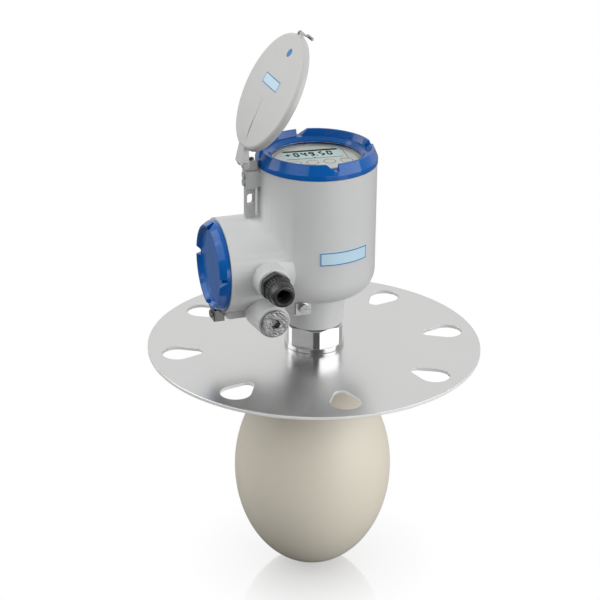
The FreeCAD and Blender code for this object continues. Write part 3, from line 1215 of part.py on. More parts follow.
# Weather lid, drawn closed about its hinge pin and then opened to its rest position.
LID = dict(x=-pin_reach, z=pin_height, axis=V(0, -1, 0), angle=D.lid_open_angle)
lid = new_body("weather_lid", **LID)
middle = pin_reach
low = lid_bottom - pin_height
edge_height = low + D.lid_skirt
crown = edge_height + D.lid_crown
near = middle - lid_radius


def dome_depth(reach):
    """How far the dome's surface lies below its crown."""
    return D.lid_crown * reach * reach / ((lid_radius - D.lid_round) * (lid_radius - D.lid_round))


def dome(reach, depth):
    """A point of the lid's section, at a distance from its middle, below the dome's surface."""
    return (middle - reach, crown - dome_depth(reach) - depth)


half_sheet = D.lid_sheet / 2.0
ridge_knee = (lid_radius + middle - D.arm_tip_reach) / 2.0
arm_side = new_sketch(lid, "XZ_Plane")
outline(arm_side, [(-0.4, D.arm_heel_rise), (18.0, D.arm_heel_rise + 4.8),
                   (D.arm_crown_reach, D.arm_crown_rise),
                   dome(middle - D.arm_tip_reach, -0.1), dome(middle - D.arm_tip_reach, half_sheet),
                   dome(ridge_knee, half_sheet), (near + D.lid_round + 0.4, edge_height - half_sheet),
                   (near + half_sheet, edge_height - D.lid_round + 0.6), (near + half_sheet, low),
                   (near - 1.1, low - 0.9), (2.2, -2.7), (-3.4, 0.8)])
pad(lid, arm_side, 2.0 * D.arm_half_width, both=True)
eye = new_sketch(lid, "XZ_Plane")
ring(eye, 0.0, 0.0, D.eye_radius)
pad(lid, eye, 2.0 * D.arm_half_width, both=True)
eye_sheet = 1.0
channel = new_sketch(lid, "XZ_Plane")
channel_end = near - 0.6
outline(channel, [(-6.0, D.arm_heel_rise - 1.3), (-0.4, D.arm_heel_rise - 1.3),
                  (channel_end, D.arm_heel_rise + 1.4), (channel_end, -6.0), (-6.0, -6.0)])
pocket(lid, channel, 2.0 * (D.arm_half_width - eye_sheet), both=True)
eye_hole = new_sketch(lid, "XZ_Plane")
ring(eye_hole, 0.0, 0.0, D.pin_radius + D.running_gap)
pocket(lid, eye_hole, 4.0 * D.arm_half_width, both=True)
for hand in (1.0, -1.0):
    taper = new_sketch(lid, "XY_Plane", lift=crown + 10.0)
    outline(taper, [(near + 4.0, hand * D.arm_half_width),
                    (D.arm_tip_reach, hand * D.arm_tip_half_width),
                    (D.arm_tip_reach + 2.0, hand * D.arm_tip_half_width),
                    (D.arm_tip_reach + 2.0, hand * (D.arm_half_width + 2.0)),
                    (near + 4.0, hand * (D.arm_half_width + 2.0))])
    pocket(lid, taper, 20.0)
ears = new_sketch(lid, "XZ_Plane")
ear_x = pin_reach + ear_reach
ear_z = ear_height - pin_height
far = middle + lid_radius
outline(ears, [(far - half_sheet, ear_z - D.ear_radius), (ear_x, ear_z - D.ear_radius),
               (ear_x, ear_z + D.ear_radius), (far - 1.9, ear_z + D.ear_radius)])
pad(lid, ears, 2.0 * D.ear_half_width, both=True)
ear_round = new_sketch(lid, "XZ_Plane")
ring(ear_round, ear_x, ear_z, D.ear_radius)
pad(lid, ear_round, 2.0 * D.ear_half_width, both=True)
ear_gap = new_sketch(lid, "XZ_Plane")
rectangle(ear_gap, far + 0.1, ear_x + D.ear_radius + 1.0, ear_z - 4.0, ear_z + 4.0)
pocket(lid, ear_gap, 2.0 * (D.latch_half_width + D.slip_gap), both=True)
latch_hole = new_sketch(lid, "XZ_Plane")
ring(latch_hole, ear_x, ear_z, D.latch_pin_radius)
pocket(lid, latch_hole, 4.0 * D.ear_half_width, both=True)


def arc_drop(reach, rise):
    """Radius of the arc that spans a reach and a rise."""
    return (reach * reach + rise * rise) / (2.0 * rise)


flat_reach = lid_radius - D.lid_round
outer_arc = arc_drop(flat_reach, D.lid_crown)
inner_arc = outer_arc - D.lid_sheet
inner_reach = flat_reach * inner_arc / outer_arc
inner_edge = crown - outer_arc + (outer_arc - D.lid_crown) * inner_arc / outer_arc
inner_corner = lid_radius - D.lid_sheet - inner_reach
turned(lid, [(middle, crown - D.lid_sheet, middle, crown - outer_arc), (middle, crown),
             (middle + flat_reach, edge_height, middle, crown - outer_arc),
             (far, edge_height - D.lid_round, middle + flat_reach, edge_height - D.lid_round),
             (far, low), (far - D.lid_sheet, low),
             (far - D.lid_sheet, inner_edge - inner_corner),
             (middle + inner_reach, inner_edge, middle + inner_reach, inner_edge - inner_corner)],
       about=middle)

# Latch that hangs from the lid's ears, with its pin.
latch_pin = new_body("latch_pin", **LID)
bar = new_sketch(latch_pin, "XZ_Plane")
ring(bar, ear_x, ear_z, D.latch_pin_radius)
pad(latch_pin, bar, 2.0 * (D.ear_half_width + 0.4), both=True)
latch = new_body("lid_latch", **LID)
latch_eye = new_sketch(latch, "XZ_Plane")
ring(latch_eye, ear_x, ear_z, D.latch_eye_radius)
pad(latch, latch_eye, 2.0 * D.latch_half_width, both=True)
rod = new_sketch(latch, "XY_Plane", lift=ear_z - D.latch_drop)
ring(rod, ear_x, 0.0, D.latch_rod_radius)
pad(latch, rod, D.latch_drop)
cross_bar = new_sketch(latch, "XZ_Plane")
ring(cross_bar, ear_x, ear_z - D.latch_drop, D.latch_bar_radius)
pad(latch, cross_bar, 2.0 * D.latch_bar_half_length, both=True)
latch_bore = new_sketch(latch, "XZ_Plane")
ring(latch_bore, ear_x, ear_z, D.latch_pin_radius + D.running_gap)
pocket(latch, latch_bore, 4.0 * D.latch_half_width, both=True)
rounded(latch, 0.5, lambda edge: edge.BoundBox.YLength < 0.01
        and abs(abs(edge.BoundBox.YMax) - float(D.latch_bar_half_length)) < 0.01)


# Every object is checked before its piece is written.
doc.recompute()
for thing in doc.Objects:
    if any(word in thing.State for word in ("Invalid", "Error")):
        raise RuntimeError("%s is in state %s" % (thing.Name, thing.State))
os.makedirs("parts", exist_ok=True)
for thing in nodes:
    shape = thing.Shape
    if shape.isNull() or not shape.isValid() or not shape.Solids:
        raise RuntimeError("%s has no valid shape" % thing.Label)
    shape.exportStep("parts/%s.step" % thing.Label)
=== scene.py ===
import functools
import json
import math

import bmesh
import bpy
from mathutils import Matrix, Vector

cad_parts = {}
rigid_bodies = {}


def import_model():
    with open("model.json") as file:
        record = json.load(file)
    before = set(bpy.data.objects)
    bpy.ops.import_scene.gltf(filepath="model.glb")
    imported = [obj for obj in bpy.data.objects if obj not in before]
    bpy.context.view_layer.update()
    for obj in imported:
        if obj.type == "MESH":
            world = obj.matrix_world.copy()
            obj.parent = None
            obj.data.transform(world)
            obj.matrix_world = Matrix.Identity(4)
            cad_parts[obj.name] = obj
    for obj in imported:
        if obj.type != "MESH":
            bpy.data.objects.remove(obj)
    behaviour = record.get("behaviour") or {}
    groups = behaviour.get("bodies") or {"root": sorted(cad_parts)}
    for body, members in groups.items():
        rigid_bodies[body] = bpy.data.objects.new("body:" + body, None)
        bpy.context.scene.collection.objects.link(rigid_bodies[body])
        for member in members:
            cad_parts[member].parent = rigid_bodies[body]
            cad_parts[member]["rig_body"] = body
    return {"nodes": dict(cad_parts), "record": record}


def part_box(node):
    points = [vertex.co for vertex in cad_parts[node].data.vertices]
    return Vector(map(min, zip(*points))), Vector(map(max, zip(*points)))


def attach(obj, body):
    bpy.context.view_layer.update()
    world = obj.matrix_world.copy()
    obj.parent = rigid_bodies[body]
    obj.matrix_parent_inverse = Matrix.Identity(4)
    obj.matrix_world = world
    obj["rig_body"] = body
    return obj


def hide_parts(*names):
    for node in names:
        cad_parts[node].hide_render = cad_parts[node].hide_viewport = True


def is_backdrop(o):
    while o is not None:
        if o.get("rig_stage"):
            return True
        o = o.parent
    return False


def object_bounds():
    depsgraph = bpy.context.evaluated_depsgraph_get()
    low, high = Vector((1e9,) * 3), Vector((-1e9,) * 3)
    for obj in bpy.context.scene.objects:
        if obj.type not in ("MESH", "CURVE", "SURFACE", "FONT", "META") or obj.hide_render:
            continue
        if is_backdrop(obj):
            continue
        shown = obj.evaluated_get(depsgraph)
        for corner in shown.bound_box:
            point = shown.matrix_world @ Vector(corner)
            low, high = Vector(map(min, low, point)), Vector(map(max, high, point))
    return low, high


bl_info = {
    "name": "Radar level transmitter",
    "version": (1, 0, 0),
    "blender": (4, 5, 0),
    "location": "3D View > Sidebar > Transmitter",
    "description": "Dresses the packed transmitter: castings, caps, lid, gland, display, antenna and stage",
    "category": "Object",
}

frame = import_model()

MM = 0.001
NODES = frame["nodes"]
SLOT_OF = {row["node"]: row["material_slot"] for row in frame["record"]["subparts"]}
WHITE = (1.0, 1.0, 1.0, 1.0)


# Node graphs: expressions on sockets add Math nodes.
def wire_first(operation):
    """An operator that adds a Math node with the wire as its first value."""
    return lambda wire, *others: wire.graph.math(operation, wire, *others)


def wire_last(operation):
    """The same operator for a wire on its right side."""
    return lambda wire, other: wire.graph.math(operation, other, wire)


class Wire:
    """An output socket. Arithmetic on it adds Math nodes to its tree."""

    def __init__(self, graph, socket):
        self.graph = graph
        self.socket = socket

    __add__, __radd__ = wire_first("ADD"), wire_last("ADD")
    __sub__, __rsub__ = wire_first("SUBTRACT"), wire_last("SUBTRACT")
    __mul__, __rmul__ = wire_first("MULTIPLY"), wire_last("MULTIPLY")
    __truediv__, __pow__ = wire_first("DIVIDE"), wire_first("POWER")
    __gt__, __lt__ = wire_first("GREATER_THAN"), wire_first("LESS_THAN")
    __abs__ = wire_first("ABSOLUTE")

    def math(self, operation, *others):
        """Another Math node with this wire as its first value."""
        return self.graph.math(operation, self, *others)

    def also(self, output):
        """Another output of the same node."""
        return Wire(self.graph, self.socket.node.outputs[output])

    def clamped(self):
        return self.graph.math("ADD", self, 0.0, clamp=True)


class Graph:
    """A node tree that is filled from Python."""

    def __init__(self, tree):
        self.tree = tree

    def add(self, kind, settings=None, sockets=None, output=0):
        """Adds a node: its settings first, then its sockets' values or links."""
        node = self.tree.nodes.new(kind)
        for name, value in (settings or {}).items():
            setattr(node, name, value)
        for key, value in (sockets or {}).items():
            if isinstance(value, Wire):
                self.tree.links.new(value.socket, node.inputs[key])
            else:
                node.inputs[key].default_value = value
        return Wire(self, node.outputs[output]) if len(node.outputs) else None

    def named(self, kind, **sockets):
        """Adds a node whose sockets are set by name; underscores stand for spaces."""
        return self.add(kind, {}, {name.replace("_", " "): value for name, value in sockets.items()})

    def math(self, operation, *values, clamp=False):
        """A Math node of numbers or wires."""
        settings = {"operation": operation, "use_clamp": clamp}
        return self.add("ShaderNodeMath", settings, dict(enumerate(values)))

    def parts(self, vector):
        """A vector's X, with Y and Z as the node's other outputs."""
        return self.add("ShaderNodeSeparateXYZ", {}, {0: vector})

    def vector(self, x=0.0, y=0.0, z=0.0):
        """A vector from numbers or wires."""
        return self.add("ShaderNodeCombineXYZ", {}, {0: x, 1: y, 2: z})

    def dot(self, first, second):
        """The dot product of two vectors."""
        return self.add("ShaderNodeVectorMath", {"operation": "DOT_PRODUCT"}, {0: first, 1: second},
                        output=1)

    def blend(self, factor, low, high):
        """A colour between two colours."""
        return self.add("ShaderNodeMix", {"data_type": "RGBA"}, {0: factor, 6: low, 7: high}, output=2)

    def shades(self, factor, colour, low, high):
        """A colour between a darker and a lighter shade of itself."""
        return self.blend(factor, rgba(colour, low), rgba(colour, high))

    def mix(self, factor, low, high):
        """A shader between two shaders."""
        return self.add("ShaderNodeMixShader", {}, {0: factor, 1: low, 2: high})

    def place(self, turn=(0.0, 0.0, 0.0), scale=(1.0, 1.0, 1.0), centre=(0.0, 0.0, 0.0)):
        """Object coordinates, moved, turned and scaled onto a piece."""
        spot = self.add("ShaderNodeTexCoord", output=3)
        moved = self.add("ShaderNodeVectorMath", {"operation": "SUBTRACT"}, {0: spot, 1: centre})
        return self.add("ShaderNodeMapping", {"vector_type": "POINT"},
                        {"Vector": moved, "Rotation": turn, "Scale": scale})

    def facing(self):
        """The way a face looks, in the object's own directions."""
        return self.add("ShaderNodeTexCoord", output=1)

    def noise(self, place=None, scale=1.0, detail=2.0, roughness=0.5):
        """A noise value between 0 and 1."""
        return self.named("ShaderNodeTexNoise", Vector=place or self.place(), Scale=scale,
                          Detail=detail, Roughness=roughness)

    def bump(self, height, strength, distance):
        """A surface normal from a height."""
        return self.named("ShaderNodeBump", Height=height, Strength=strength, Distance=distance)

    def surface(self, shader):
        """Ends a material."""
        self.named("ShaderNodeOutputMaterial", Surface=shader)

    def principled(self, **sockets):
        """A Principled shader."""
        return self.named("ShaderNodeBsdfPrincipled", **sockets)

    def deliver(self, geometry, material):
        """Ends a Geometry Nodes tree with real faces of one material."""
        real = self.named("GeometryNodeRealizeInstances", Geometry=geometry)
        dressed = self.named("GeometryNodeSetMaterial", Geometry=real, Material=material)
        self.add("NodeGroupOutput", {}, {0: dressed})


def rgba(colour, gain=1.0):
    """A colour with its alpha, made lighter or darker."""
    return tuple(min(1.0, part * gain) for part in colour[:3]) + (1.0,)


def around(level, noise, swing):
    """A level that a noise moves up and down."""
    return level + (noise - 0.5) * swing


def new_material(name):
    """An empty node material and the graph that fills it."""
    material = bpy.data.materials.new(name)
    material.use_nodes = True
    material.node_tree.nodes.clear()
    return material, Graph(material.node_tree)


def finish_from(recipe):
    """Turns the recipe of a shader into a function that makes a material by name."""
    @functools.wraps(recipe)
    def finish(name, *values, **settings):
        material, graph = new_material(name)
        graph.surface(recipe(graph, *values, **settings))
        return material
    return finish


# Finishes, one short recipe for each way a surface is made.
def paint_tone(graph, colour):
    """Powder paint's colour, with a faint change of tone."""
    return graph.shades(graph.noise(scale=28.0), colour, 0.965, 1.03)


def sprayed(graph, base, roughness):
    """Powder paint over a base colour: fine orange peel."""
    skin = graph.noise(scale=900.0)
    return graph.principled(Base_Color=base, Roughness=around(roughness, skin, 0.16),
                            Coat_Weight=0.12, Coat_Roughness=0.28,
                            Normal=graph.bump(skin, strength=0.12, distance=0.0004))


@finish_from
def powder_coat(graph, colour):
    """Sprayed powder paint."""
    return sprayed(graph, paint_tone(graph, colour), roughness=0.36)


@finish_from
def gloss_enamel(graph, colour):
    """Thick glossy enamel on a die casting."""
    place = graph.place()
    tone = graph.noise(place, scale=40.0)
    skin = graph.noise(place, scale=420.0)
    waves = graph.noise(place, scale=110.0)
    return graph.principled(
        Base_Color=graph.shades(tone, colour, 0.90, 1.08), Roughness=around(0.12, skin, 0.08),
        Specular_IOR_Level=0.25, Coat_Weight=0.35, Coat_Roughness=0.05,
        Normal=graph.bump(waves * 0.85 + skin * 0.15, strength=0.5, distance=0.0012))


@finish_from
def rolled_sheet(graph, colour, roughness, grain=(6.0, 900.0, 60.0), turn=0.0, depth=0.05, cut=0.0):
    """Stainless sheet brushed in one direction; its cut edges are paler and duller."""
    place = graph.place(turn=(0.0, 0.0, turn), scale=grain)
    streaks = graph.noise(place, detail=5.0, roughness=0.65)
    cloud = graph.noise(scale=14.0, detail=3.0)
    edge = (abs(graph.parts(graph.facing()).also(2)) < 0.5) * cut
    face = graph.shades(streaks * 0.5 + cloud * 0.5, colour, 0.93, 1.03)
    return graph.principled(
        Base_Color=graph.blend(edge, face, (0.86, 0.86, 0.85, 1.0)), Metallic=1.0 - edge,
        Roughness=around(around(roughness, streaks, 0.08), cloud, 0.06) + edge * 0.2,
        Normal=graph.bump(streaks, strength=depth, distance=0.0002))


@finish_from
def turned_metal(graph, colour, roughness=0.22, centre=(0.0, 0.0, 0.0), axis="Z"):
    """Metal from the lathe: fine rings about an axis through a centre."""
    rings_per_metre = 2600.0
    parts = graph.parts(graph.place(centre=centre))
    across = {"X": parts, "Y": parts.also(1), "Z": parts.also(2)}
    height = across.pop(axis)
    first, second = across.values()
    reach = (first * first + second * second) ** 0.5
    line = graph.vector(reach * rings_per_metre, height * rings_per_metre * 0.6)
    rings = graph.noise(line)
    cloud = graph.noise(scale=120.0, detail=3.0)
    return graph.principled(
        Base_Color=graph.shades(rings, colour, 0.9, 1.1), Metallic=1.0,
        Roughness=around(around(roughness, rings, 0.14), cloud, 0.12),
        Normal=graph.bump(rings, strength=0.10, distance=0.0001))


@finish_from
def moulded(graph, colour, roughness, depth=0.12):
    """Moulded plastic or rubber with a fine eroded grain."""
    place = graph.place()
    tone = graph.noise(place, scale=60.0)
    skin = graph.noise(place, scale=700.0, detail=3.0)
    return graph.principled(
        Base_Color=graph.shades(tone, colour, 0.93, 1.06), Roughness=around(roughness, skin, 0.2),
        Normal=graph.bump(skin, strength=depth, distance=0.0003))


@finish_from
def machined_polymer(graph, colour):
    """The antenna's solid polymer: faint turning marks and a soft cloudiness."""
    place = graph.place()
    rings = graph.noise(graph.vector(z=graph.parts(place).also(2) * 1500.0))
    cloud = graph.noise(place, scale=9.0, detail=3.0)
    speck = graph.noise(place, scale=1500.0)
    return graph.principled(
        Base_Color=graph.shades(cloud * 0.7 + rings * 0.3, colour, 0.965, 1.03),
        Roughness=around(0.5, speck, 0.14), Coat_Weight=0.06, Coat_Roughness=0.35,
        Subsurface_Weight=0.12, Subsurface_Radius=(0.006, 0.005, 0.003),
        Normal=graph.bump(rings * 0.4 + speck * 0.6, strength=0.05, distance=0.0002))


@finish_from
def printed_film(graph, colour, roughness, shine):
    """Printed film over the display plate."""
    place = graph.place()
    fleck = graph.noise(place, scale=1200.0)
    tone = graph.noise(place, scale=70.0)
    return graph.principled(
        Base_Color=graph.shades(tone, colour, 0.97, 1.02), Roughness=around(roughness, fleck, 0.12),
        Specular_IOR_Level=shine, Normal=graph.bump(fleck, strength=0.04, distance=0.0001))


@finish_from
def crystal_face(graph, colour):
    """A reflective liquid crystal face: fine dot rows on a pale green grey."""
    dots_per_metre = 2400.0
    gap = 0.16
    parts = graph.parts(graph.place(scale=(dots_per_metre, dots_per_metre, 0.0)))
    grid = ((parts.math("FRACT") < gap) + (parts.also(1).math("FRACT") < gap)).clamped()
    glow = graph.noise(scale=45.0, detail=1.0)
    face = graph.shades(glow, colour, 0.95, 1.05)
    return graph.principled(Base_Color=graph.blend(grid * 0.12, face, rgba(colour, 0.6)),
                            Roughness=0.3 + glow * 0.1, Specular_IOR_Level=0.15)


@finish_from
def clear_pane(graph, tint):
    """Flat toughened glass: clear, with a faint reflection that grows towards the edge of sight."""
    smear = graph.noise(scale=55.0, detail=3.0)
    gloss = graph.named("ShaderNodeBsdfGlossy", Color=WHITE, Roughness=0.02 + smear * 0.03)
    clear = graph.named("ShaderNodeBsdfTransparent", Color=rgba(tint))
    edge = graph.named("ShaderNodeFresnel", IOR=1.5)
    outside = 1.0 - graph.add("ShaderNodeNewGeometry").also("Backfacing")
    return graph.mix(edge * outside * 0.2, clear, gloss)


@finish_from
def framed_plate(graph, colour, border, corners, angle, spread, radius, line):
    """A bare plate on the housing's side, with a printed border along its edge."""
    low, high = corners
    middle = (low.z + high.z) / 2.0
    half = (high.z - low.z) / 2.0
    inset = line * 0.3
    parts = graph.parts(graph.place(turn=(0.0, 0.0, -angle)))
    swing = abs(parts.also(1).math("ARCTAN2", parts)) * radius
    rise = abs(parts.also(2) - middle)
    room = (spread / 2.0 * radius - swing).math("MINIMUM", half - rise)
    inside = (room > inset) * (room < inset + line)
    skin = graph.noise(scale=700.0)
    return graph.principled(
        Base_Color=graph.blend(inside, graph.shades(skin, colour, 0.97, 1.03), rgba(border)),
        Roughness=around(0.34, skin, 0.12), Coat_Weight=0.2, Coat_Roughness=0.2,
        Normal=graph.bump(skin, strength=0.05, distance=0.0002))


@finish_from
def printed_lid(graph, colour, plate, border, hinge, angle, marks):
    """Powder paint with a bare bordered field and a dot, laid out in the open lid's plane."""
    outwards = (-math.sin(angle), 0.0, math.cos(angle))
    from_hinge = graph.place(centre=hinge)
    along = graph.dot(from_hinge, (math.cos(angle), 0.0, math.sin(angle)))
    across = graph.parts(from_hinge).also(1)
    outer = (graph.dot(from_hinge, outwards) > marks["level"]) * (graph.dot(graph.facing(), outwards) > 0.5)
    field_u = marks["length"] / 2.0 - abs(along - marks["along"])
    field_v = marks["width"] / 2.0 - abs(across - marks["across"])
    room = field_u.math("MINIMUM", field_v)
    field = (room > 0.0) * outer
    edge = field * (room < marks["line"])
    dot_u = along - marks["dot_along"]
    dot_v = across - marks["dot_across"]
    spot = ((dot_u * dot_u + dot_v * dot_v) < marks["dot_radius"] ** 2) * outer
    printed = graph.blend(field, paint_tone(graph, colour), rgba(plate))
    printed = graph.blend((edge + spot).clamped(), printed, rgba(border))
    return sprayed(graph, printed, roughness=0.4)


@finish_from
def cast_bright(graph, colour):
    """A bright machined casting whose face mirrors unevenly."""
    place = graph.place()
    waves = graph.noise(place, scale=260.0, detail=3.0, roughness=0.6)
    fine = graph.noise(place, scale=2200.0)
    return graph.principled(
        Base_Color=graph.shades(waves, colour, 0.8, 1.15), Metallic=1.0,
        Roughness=around(0.12, fine, 0.12),
        Normal=graph.bump(waves * 0.8 + fine * 0.2, strength=0.7, distance=0.0012))


# Mesh helpers. Their margins: lengths in metres, FLAT_ANGLE in radians, SHADE_MARGIN in degrees.
WELD = 0.002 * MM
FLAT_ANGLE = math.radians(0.6)
SHADE_MARGIN = 8.0
LARGE_FACES_FIRST = 100
ON_AXIS = 1e-9


def top_of(node):
    """A node's highest point, in millimetres."""
    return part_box(node)[1].z / MM


def new_object(name, mesh):
    """An object at the origin, linked to the scene."""
    thing = bpy.data.objects.new(name, mesh)
    bpy.context.scene.collection.objects.link(thing)
    return thing


def from_bmesh(name, shape):
    """An object from a bmesh, which is freed."""
    mesh = bpy.data.meshes.new(name)
    shape.to_mesh(mesh)
    shape.free()
    return new_object(name, mesh)


def shade(thing, angle=32.0):
    """Smooth faces with sharp edges where the surface really turns."""
    thing.data.polygons.foreach_set("use_smooth", [True] * len(thing.data.polygons))
    thing.data.set_sharp_from_angle(angle=math.radians(angle))
    return thing


def applied(thing):
    """Turns an object's modifiers into its mesh."""
    depsgraph = bpy.context.evaluated_depsgraph_get()
    mesh = bpy.data.meshes.new_from_object(thing.evaluated_get(depsgraph), depsgraph=depsgraph)
    thing.modifiers.clear()
    thing.data = mesh
    return thing


def put_on(thing, material):
    """Gives a piece its one material."""
    thing.data.materials.clear()
    thing.data.materials.append(material)
    return thing


def rides_with(thing, node, slot):
    """A finished piece moves with a node's body; its slot is not used."""
    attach(thing, NODES[node]["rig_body"])
    return thing


def stands_for(thing, node):
    """A finished piece replaces a node and rides on its body."""
    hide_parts(node)
    return rides_with(thing, node, SLOT_OF[node])


def softened(node, material, width=0.25, segments=2, angle=32.0):
    """A copy of a CAD node with its edges broken as a real casting or turning has them."""
    shape = bmesh.new()
    shape.from_mesh(NODES[node].data)
    bmesh.ops.remove_doubles(shape, verts=shape.verts, dist=WELD)
    bmesh.ops.dissolve_limit(shape, angle_limit=FLAT_ANGLE, verts=shape.verts, edges=shape.edges,
                             delimit={"NORMAL"})
    thing = from_bmesh(node + "_finished", shape)
    if width:
        bevel = thing.modifiers.new("edges", "BEVEL")
        bevel.width = width * MM
        bevel.segments = segments
        bevel.limit_method = "ANGLE"
        bevel.angle_limit = math.radians(angle)
        bevel.use_clamp_overlap = True
        applied(thing)
    shade(thing, angle + SHADE_MARGIN)
    weighted = thing.modifiers.new("normals", "WEIGHTED_NORMAL")
    weighted.weight = LARGE_FACES_FIRST
    weighted.keep_sharp = True
    return stands_for(put_on(applied(thing), material), node)


def lathe(name, profile, segments=128):
    """A closed turned shape about Z from pairs of radius and height in millimetres."""
    shape = bmesh.new()
    rings = []
    for radius, height in profile:
        if radius * MM < ON_AXIS:
            rings.append([shape.verts.new((0.0, 0.0, height * MM))])
            continue
        rings.append([shape.verts.new((radius * MM * math.cos(math.tau * step / segments),
                                       radius * MM * math.sin(math.tau * step / segments),
                                       height * MM)) for step in range(segments)])
    for lower, upper in zip(rings, rings[1:]):
        for step in range(segments):
            ahead = (step + 1) % segments
            corners = [lower[step % len(lower)], lower[ahead % len(lower)],
                       upper[ahead % len(upper)], upper[step % len(upper)]]
            kept = list(dict.fromkeys(corners))
            if len(kept) > 2:
                shape.faces.new(kept)
    bmesh.ops.recalc_face_normals(shape, faces=shape.faces)
    return from_bmesh(name, shape)


def prisms(name, outlines, foot, top):
    """Flat pieces from outlines in millimetres, between two heights in millimetres."""
    shape = bmesh.new()
    for outline in outlines:
        low, high = ([shape.verts.new((x * MM, y * MM, level * MM)) for x, y in outline]
                     for level in (foot, top))
        shape.faces.new(low)
        shape.faces.new(high)
        for step in range(len(outline)):
            ahead = (step + 1) % len(outline)
            shape.faces.new((low[step], low[ahead], high[ahead], high[step]))
    bmesh.ops.recalc_face_normals(shape, faces=shape.faces)
    return from_bmesh(name, shape)


def bar(start, end, stroke):
    """The outline of a bar with pointed ends."""
    start, end = Vector(start), Vector(end)
    way = (end - start).normalized() * stroke / 2.0
    side = Vector((-way.y, way.x))
    return [start, start + way + side, end - way + side, end, end - way - side, start + way - side]


def joined(name, things, material):
    """One piece from several that ride on the same body."""
    shape = bmesh.new()
    for thing in things:
        shape.from_mesh(thing.data)
        bpy.data.objects.remove(thing)
    return put_on(from_bmesh(name, shape), material)


def tree_with(name, sockets):
    """A Geometry Nodes tree with named number inputs, its graph and its input node."""
    tree = bpy.data.node_groups.new(name, "GeometryNodeTree")
    tree.interface.new_socket("Geometry", in_out="OUTPUT", socket_type="NodeSocketGeometry")
    for label, value in sockets.items():
        kind = "NodeSocketInt" if isinstance(value, int) else "NodeSocketFloat"
        tree.interface.new_socket(label, in_out="INPUT", socket_type=kind).default_value = value
    graph = Graph(tree)
    return tree, graph, graph.add("NodeGroupInput")


def grown(name, tree, values):
    """A plain mesh object from a Geometry Nodes tree whose inputs are set by name."""
    thing = new_object(name, bpy.data.meshes.new(name))
    modifier = thing.modifiers.new("tree", "NODES")
    modifier.node_group = tree
    for item in tree.interface.items_tree:
        if item.in_out == "INPUT" and item.name in values:
            modifier[item.identifier] = values[item.name]
    applied(thing)
    shape = bmesh.new()
    shape.from_mesh(thing.data)
    bmesh.ops.recalc_face_normals(shape, faces=shape.faces)
    shape.to_mesh(thing.data)
    shape.free()
    return thing


# Settings that a user would change.
def colour_property(name, description, colour):
    """A linear colour."""
    return bpy.props.FloatVectorProperty(name=name, description=description, default=colour,
                                         subtype="COLOR", size=3, min=0.0, max=1.0)


def length_property(name, description, millimetres):
    """A length in metres, its default given in millimetres."""
    return bpy.props.FloatProperty(name=name, description=description, default=millimetres * MM,
                                   unit="LENGTH", subtype="DISTANCE", precision=5)


def angle_property(name, description, radians):
    """An angle in radians."""
    return bpy.props.FloatProperty(name=name, description=description, default=radians, subtype="ANGLE")


def level_property(name, description, level, unit="NONE"):
    """A lamp's power or a level of light."""
    return bpy.props.FloatProperty(name=name, description=description, default=level, min=0.0, unit=unit)


def count_property(name, description, count, least, most):
    """A whole number within its bounds."""
    return bpy.props.IntProperty(name=name, description=description, default=count, min=least, max=most)


class TransmitterPaint(bpy.types.PropertyGroup):
    """Colours of the painted and moulded pieces."""
    housing: colour_property("Housing", "Powder paint of the housing", (0.58, 0.585, 0.585))
    lid: colour_property("Lid", "Powder paint of the weather lid", (0.52, 0.52, 0.51))
    caps: colour_property("Caps", "Enamel of the two screw caps", (0.0, 0.098, 0.385))
    plate: colour_property("Name plate", "Bare name plate", (0.50, 0.68, 0.80))
    border: colour_property("Border", "Printed border and dot", (0.01, 0.16, 0.42))
    antenna: colour_property("Antenna", "Polymer of the drop antenna", (0.79, 0.74, 0.625))
    gland: colour_property("Gland", "Plastic of the cable gland", (0.030, 0.030, 0.032))


class TransmitterMetal(bpy.types.PropertyGroup):
    """Colours of the bare metal pieces."""
    sheet: colour_property("Sheet", "Brushed mounting plate", (0.71, 0.71, 0.705))
    turned: colour_property("Turned", "Adaptor and plug", (0.60, 0.60, 0.60))
    dark: colour_property("Dark", "Hinge leaf and cap lock", (0.30, 0.29, 0.28))


class TransmitterDrop(bpy.types.PropertyGroup):
    """Form of the drop antenna."""
    radius: length_property("Radius", "Widest radius of the drop", 72.0)
    depth: length_property("Depth", "Widest section below the plate", 121.0)
    lower: length_property("Lower height", "From the widest section to the tip", 98.0)
    upper: length_property("Upper height", "Half axis of the upper part", 96.0)
    neck: length_property("Neck", "Radius of the neck", 30.0)
    stub: length_property("Stub", "Radius of the threaded stub", 19.0)
    segments: count_property("Segments", "Steps round the drop", 192, 24, 512)


class TransmitterGland(bpy.types.PropertyGroup):
    """Grip ribs of the gland's dome nut."""
    ribs: count_property("Ribs", "Number of grip ribs", 26, 6, 96)
    radius: length_property("Rib circle", "From the nut's axis to the ribs", 11.1)
    length: length_property("Rib length", "Along the nut's axis", 9.6)
    width: length_property("Rib width", "Across one rib", 1.5)


class TransmitterDisplay(bpy.types.PropertyGroup):
    """The display's reading and its plain marks."""
    reading: bpy.props.StringProperty(name="Reading", description="Number on the display",
                                      default="+049.50")
    digit: length_property("Digit height", "Height of the reading's digits", 11.0)
    stroke: length_property("Stroke", "Width of a digit's bars", 2.2)
    turn: angle_property("Turn", "Display's turn in its carrier", math.radians(-5.0))
    keys: count_property("Keys", "Number of sensor keys", 4, 1, 8)
    pitch: length_property("Key pitch", "From one sensor key to the next", 15.2)
    face: colour_property("Face", "Liquid crystal face", (0.72, 0.88, 0.85))
    ink: colour_property("Ink", "Dark segments", (0.012, 0.014, 0.016))
    film: colour_property("Film", "Printed plate round the display", (0.80, 0.80, 0.74))


